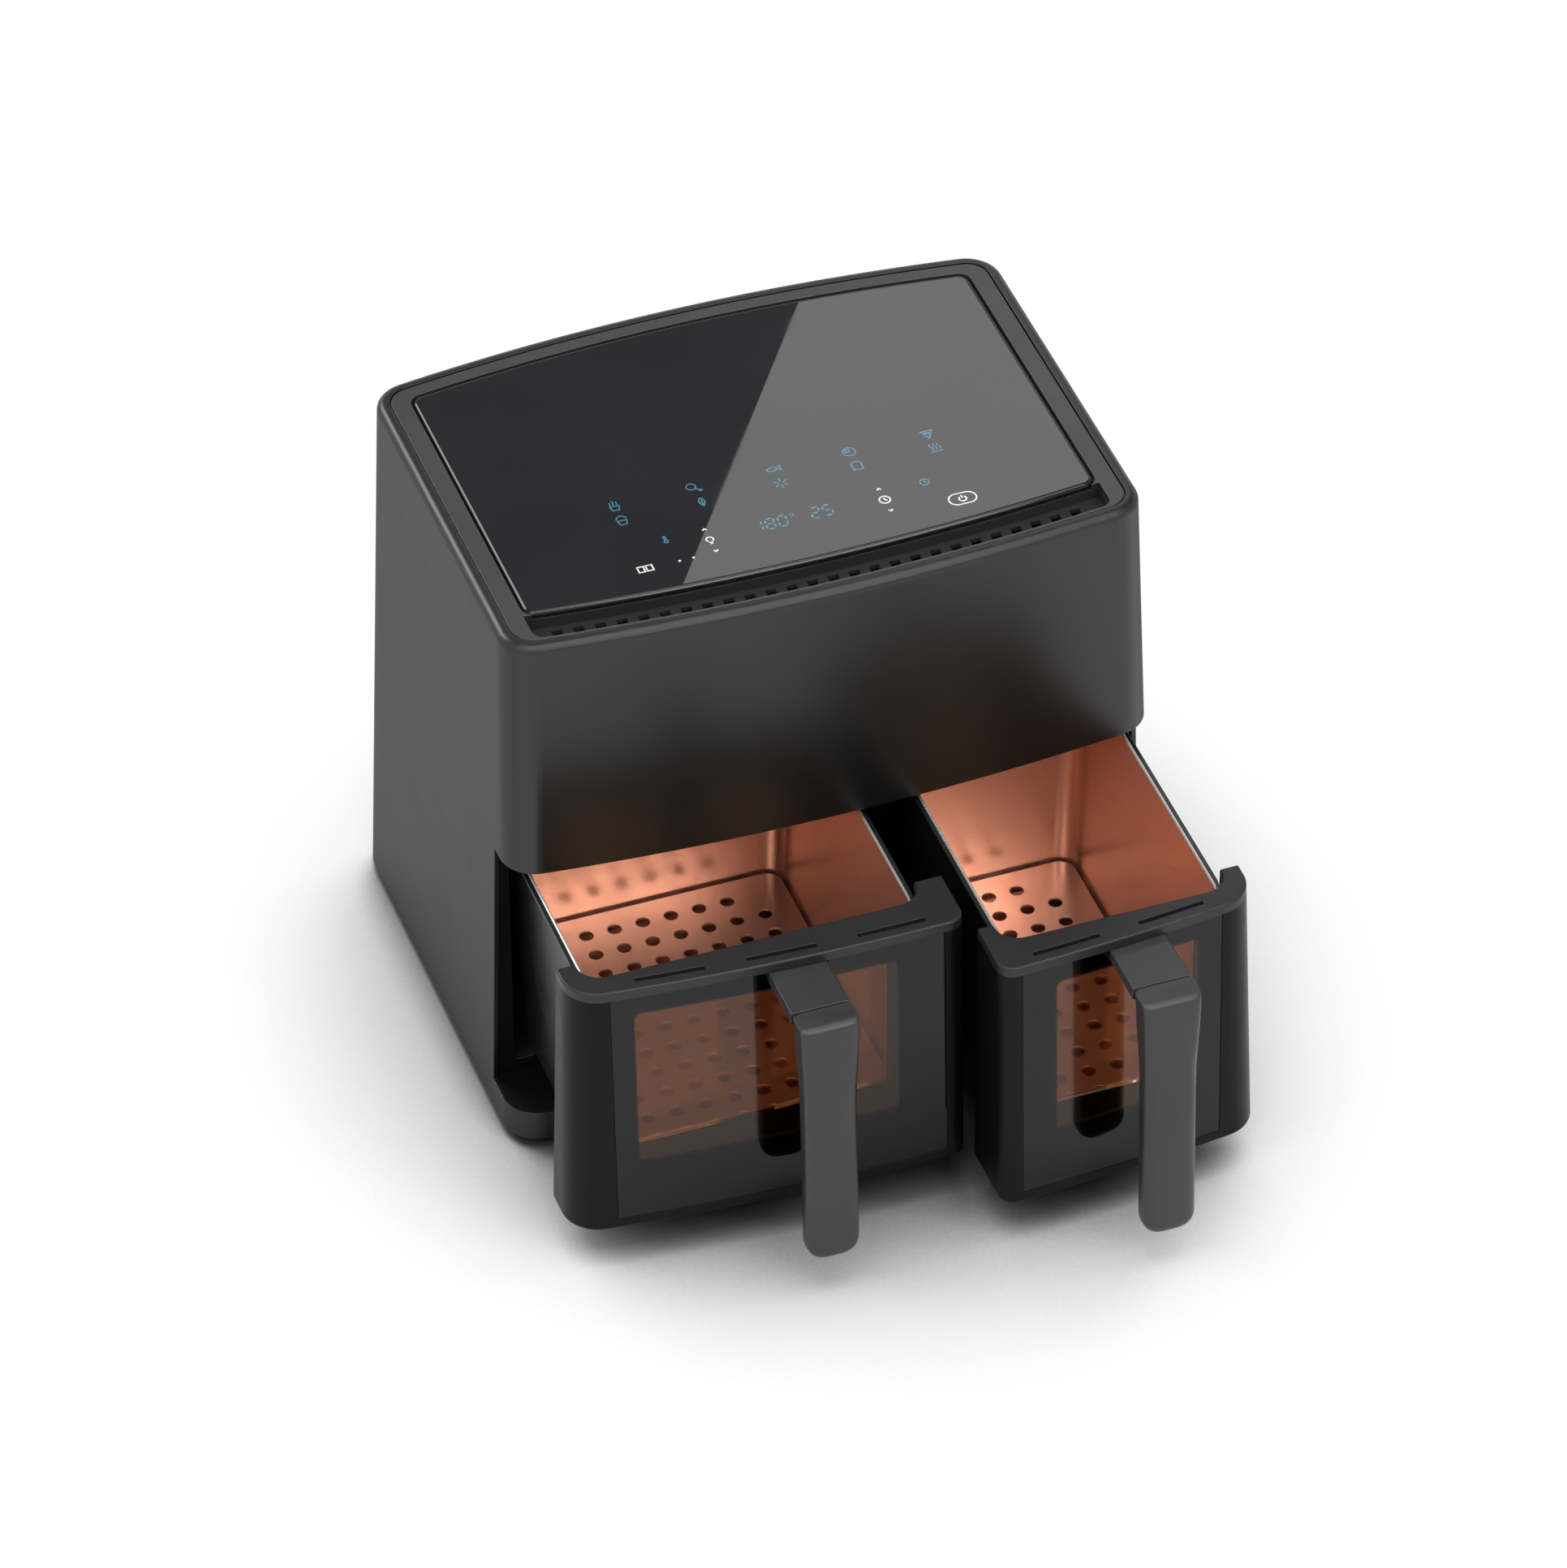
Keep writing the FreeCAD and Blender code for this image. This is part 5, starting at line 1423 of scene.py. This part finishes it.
@dataclass(frozen=True)
class Lamp:
    """A soft square lamp that points at the object."""

    name: str
    place: tuple[float, float, float]
    size: float
    power: float

    def hang(self, target: Vector) -> None:
        """Make the lamp and point it at a target.

        Args:
            target: Where it points.
        """
        data = bpy.data.lights.new(self.name, "AREA")
        data.size = self.size
        data.energy = self.power
        lamp = bpy.data.objects.new(self.name, data)
        lamp.location = self.place
        lamp.rotation_euler = (target - Vector(self.place)).to_track_quat("-Z", "Y").to_euler()
        bpy.context.scene.collection.objects.link(lamp)


def stage_card(name: str, corners: Sequence[Vector], material: bpy.types.Material) -> Piece:
    """Return a flat stage piece between corners.

    Args:
        name: The piece's name.
        corners: Its corners in order.
        material: What it shows.

    Returns:
        The piece.
    """
    mesh = bpy.data.meshes.new(name)
    mesh.from_pydata([tuple(corner) for corner in corners], [], [tuple(range(len(corners)))])
    mesh.materials.append(material)
    card = bpy.data.objects.new(name, mesh)
    bpy.context.scene.collection.objects.link(card)
    return card


@dataclass
class Studio:
    """The camera, the floor, the lamps and the card that the control glass mirrors."""

    camera_place: tuple[float, float, float] = (-1.26159, -3.45675, 3.35835)
    azimuth: float = -19.767
    elevation: float = 40.783
    roll: float = -0.284
    focal_pixels: float = 10775.6
    target: tuple[float, float, float] = (0.0, 0.05, 0.15)
    floor_half: float = 7.0
    floor_grey: float = 0.35
    floor_dim: float = 0.09
    floor_lift: float = 0.96
    # Painted shadow: how far and how steeply ambient occlusion darkens the floor's glow
    shade_reach: float = 0.26
    shade_steps: Point = (0.22, 0.9)
    contact_reach: float = 0.05
    contact_steps: Point = (0.42, 0.72)
    card_edge: tuple[Point, Point] = ((0.06813, 0.21306), (-0.07378, 0.0034))
    card_height: float = 2.8
    card_more: float = 0.5
    card_aside: tuple[float, float, float] = (0.6, -0.1, 0.0)
    card_glow: float = 2.4
    horizon_steps: Point = (0.02, 0.6)
    ceiling: float = 0.28
    fill: float = 0.24
    lamps: tuple[Lamp, ...] = (
        Lamp("key_left", (-1.5, -1.3, 2.3), size=1.6, power=24.0),
        Lamp("overhead", (0.2, -0.4, 2.6), size=2.2, power=30.0),
        Lamp("front_right", (0.8, -2.2, 2.4), size=1.2, power=28.0),
        Lamp("left_back", (-1.3, 2.0, 1.9), size=1.4, power=32.0),
    )

    def shoot(self) -> None:
        """Place the camera at the photograph's view."""
        turn, rise, roll = (math.radians(angle) for angle in (self.azimuth, self.elevation, self.roll))
        back = Vector((math.sin(turn) * math.cos(rise), -math.cos(turn) * math.cos(rise), math.sin(rise)))
        level = Vector((math.cos(turn), math.sin(turn), 0.0))
        upright = back.cross(level)
        right = level * math.cos(roll) + upright * math.sin(roll)
        up = upright * math.cos(roll) - level * math.sin(roll)
        data = bpy.data.cameras.new("photo_camera")
        data.sensor_width = SENSOR
        data.lens = self.focal_pixels * SENSOR / IMAGE_HEIGHT
        data.clip_end = 100.0
        camera = bpy.data.objects.new("photo_camera", data)
        turned = Matrix((right, up, back)).transposed().to_4x4()
        camera.matrix_world = Matrix.Translation(self.camera_place) @ turned
        bpy.context.scene.collection.objects.link(camera)
        bpy.context.scene.camera = camera

    def lay_floor(self) -> None:
        """Lay a pale floor with the lamps' real shadow and a glow darkened near the object: a painted
        shadow.
        """
        material, sheet = blank_material("pale_floor")
        shown = sheet.seen()
        plain, dim = ((grey, grey, grey, 1.0) for grey in (self.floor_grey, self.floor_dim))
        matt = sheet.add("ShaderNodeBsdfDiffuse", {"Color": sheet.blend(shown, plain, dim)})
        # Ambient occlusion darkens the floor's glow near and under the object: painted shadow
        near, close = (sheet.add("ShaderNodeAmbientOcclusion", {"Distance": reach}, samples=12).outputs["AO"]
                       for reach in (self.shade_reach, self.contact_reach))
        glow_with_painted_shadow = sheet.math("MULTIPLY", sheet.ramp(near, *self.shade_steps, end=self.floor_lift),
                          sheet.ramp(close, *self.contact_steps))
        glow = sheet.add("ShaderNodeEmission", {"Strength": sheet.math("MULTIPLY", shown, glow_with_painted_shadow)})
        both = sheet.add("ShaderNodeAddShader")
        sheet.feed(both.inputs[0], matt.outputs[0])
        sheet.feed(both.inputs[1], glow.outputs[0])
        sheet.add("ShaderNodeOutputMaterial", {"Surface": both.outputs[0]})
        corners = ((-1, -1), (1, -1), (1, 1), (-1, 1))
        stage_card("floor", [Vector((x, y, 0.0)) * self.floor_half for x, y in corners], material)

    def hang_card(self) -> None:
        """Hang the card whose slanting edge shows in the control glass."""
        material, sheet = blank_material("card_glow")
        glow = sheet.add("ShaderNodeEmission", {"Strength": self.card_glow})
        sheet.add("ShaderNodeOutputMaterial", {"Surface": glow.outputs[0]})
        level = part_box("control_glass")[1].z
        eye = Vector(self.camera_place)
        mirrored = Vector((eye.x, eye.y, 2 * level - eye.z))
        far, near = (Vector((x, y, level)) for x, y in self.card_edge)
        more, aside = (far - near) * self.card_more, Vector(self.card_aside)
        spots = [near - more, near - more + aside, far + more + aside, far + more]
        grow = (self.card_height - mirrored.z) / (level - mirrored.z)
        card = stage_card("mirror_card", [mirrored + (spot - mirrored) * grow for spot in spots], material)
        card.visible_camera = False
        card.visible_diffuse = False
        card.visible_shadow = False

    def light_world(self) -> None:
        """Give the world a white horizon, a grey ceiling and a plain level of fill light."""
        world = bpy.data.worlds.new("studio")
        bpy.context.scene.world = world
        world.use_nodes = True
        sheet = NodeSheet(world.node_tree)
        split = sheet.axes(sheet.add("ShaderNodeTexCoord").outputs["Generated"])
        shown = sheet.ramp(split.outputs["Z"], *self.horizon_steps, start=1.0, end=self.ceiling)
        extra = sheet.math("MULTIPLY", sheet.seen(), sheet.math("SUBTRACT", shown, self.fill))
        strength = sheet.math("ADD", self.fill, extra)
        back = sheet.add("ShaderNodeBackground", {"Color": hue("ffffff"), "Strength": strength})
        sheet.add("ShaderNodeOutputWorld", {"Surface": back.outputs[0]})

    def build(self) -> None:
        """Set up the whole studio."""
        self.shoot()
        self.lay_floor()
        self.hang_card()
        self.light_world()
        for lamp in self.lamps:
            lamp.hang(Vector(self.target))
        bpy.context.scene.view_settings.view_transform = "Standard"


def main() -> None:
    """Build the studio and every sub-assembly."""
    logging.basicConfig(level=logging.INFO, format="%(name)s %(message)s")
    nodes = frame["nodes"]
    Studio().build()
    Housing().dress(nodes)
    top = ControlTop()
    top.dress(top.build(), nodes)
    for side in Side:
        HeatZone(side).dress(nodes)
        drawer = Drawer(side)
        grip = drawer.build_grip(nodes[drawer.name("handle_arm")])
        drawer.dress(drawer.build(), grip, nodes)


if __name__ == "__main__":
    main()
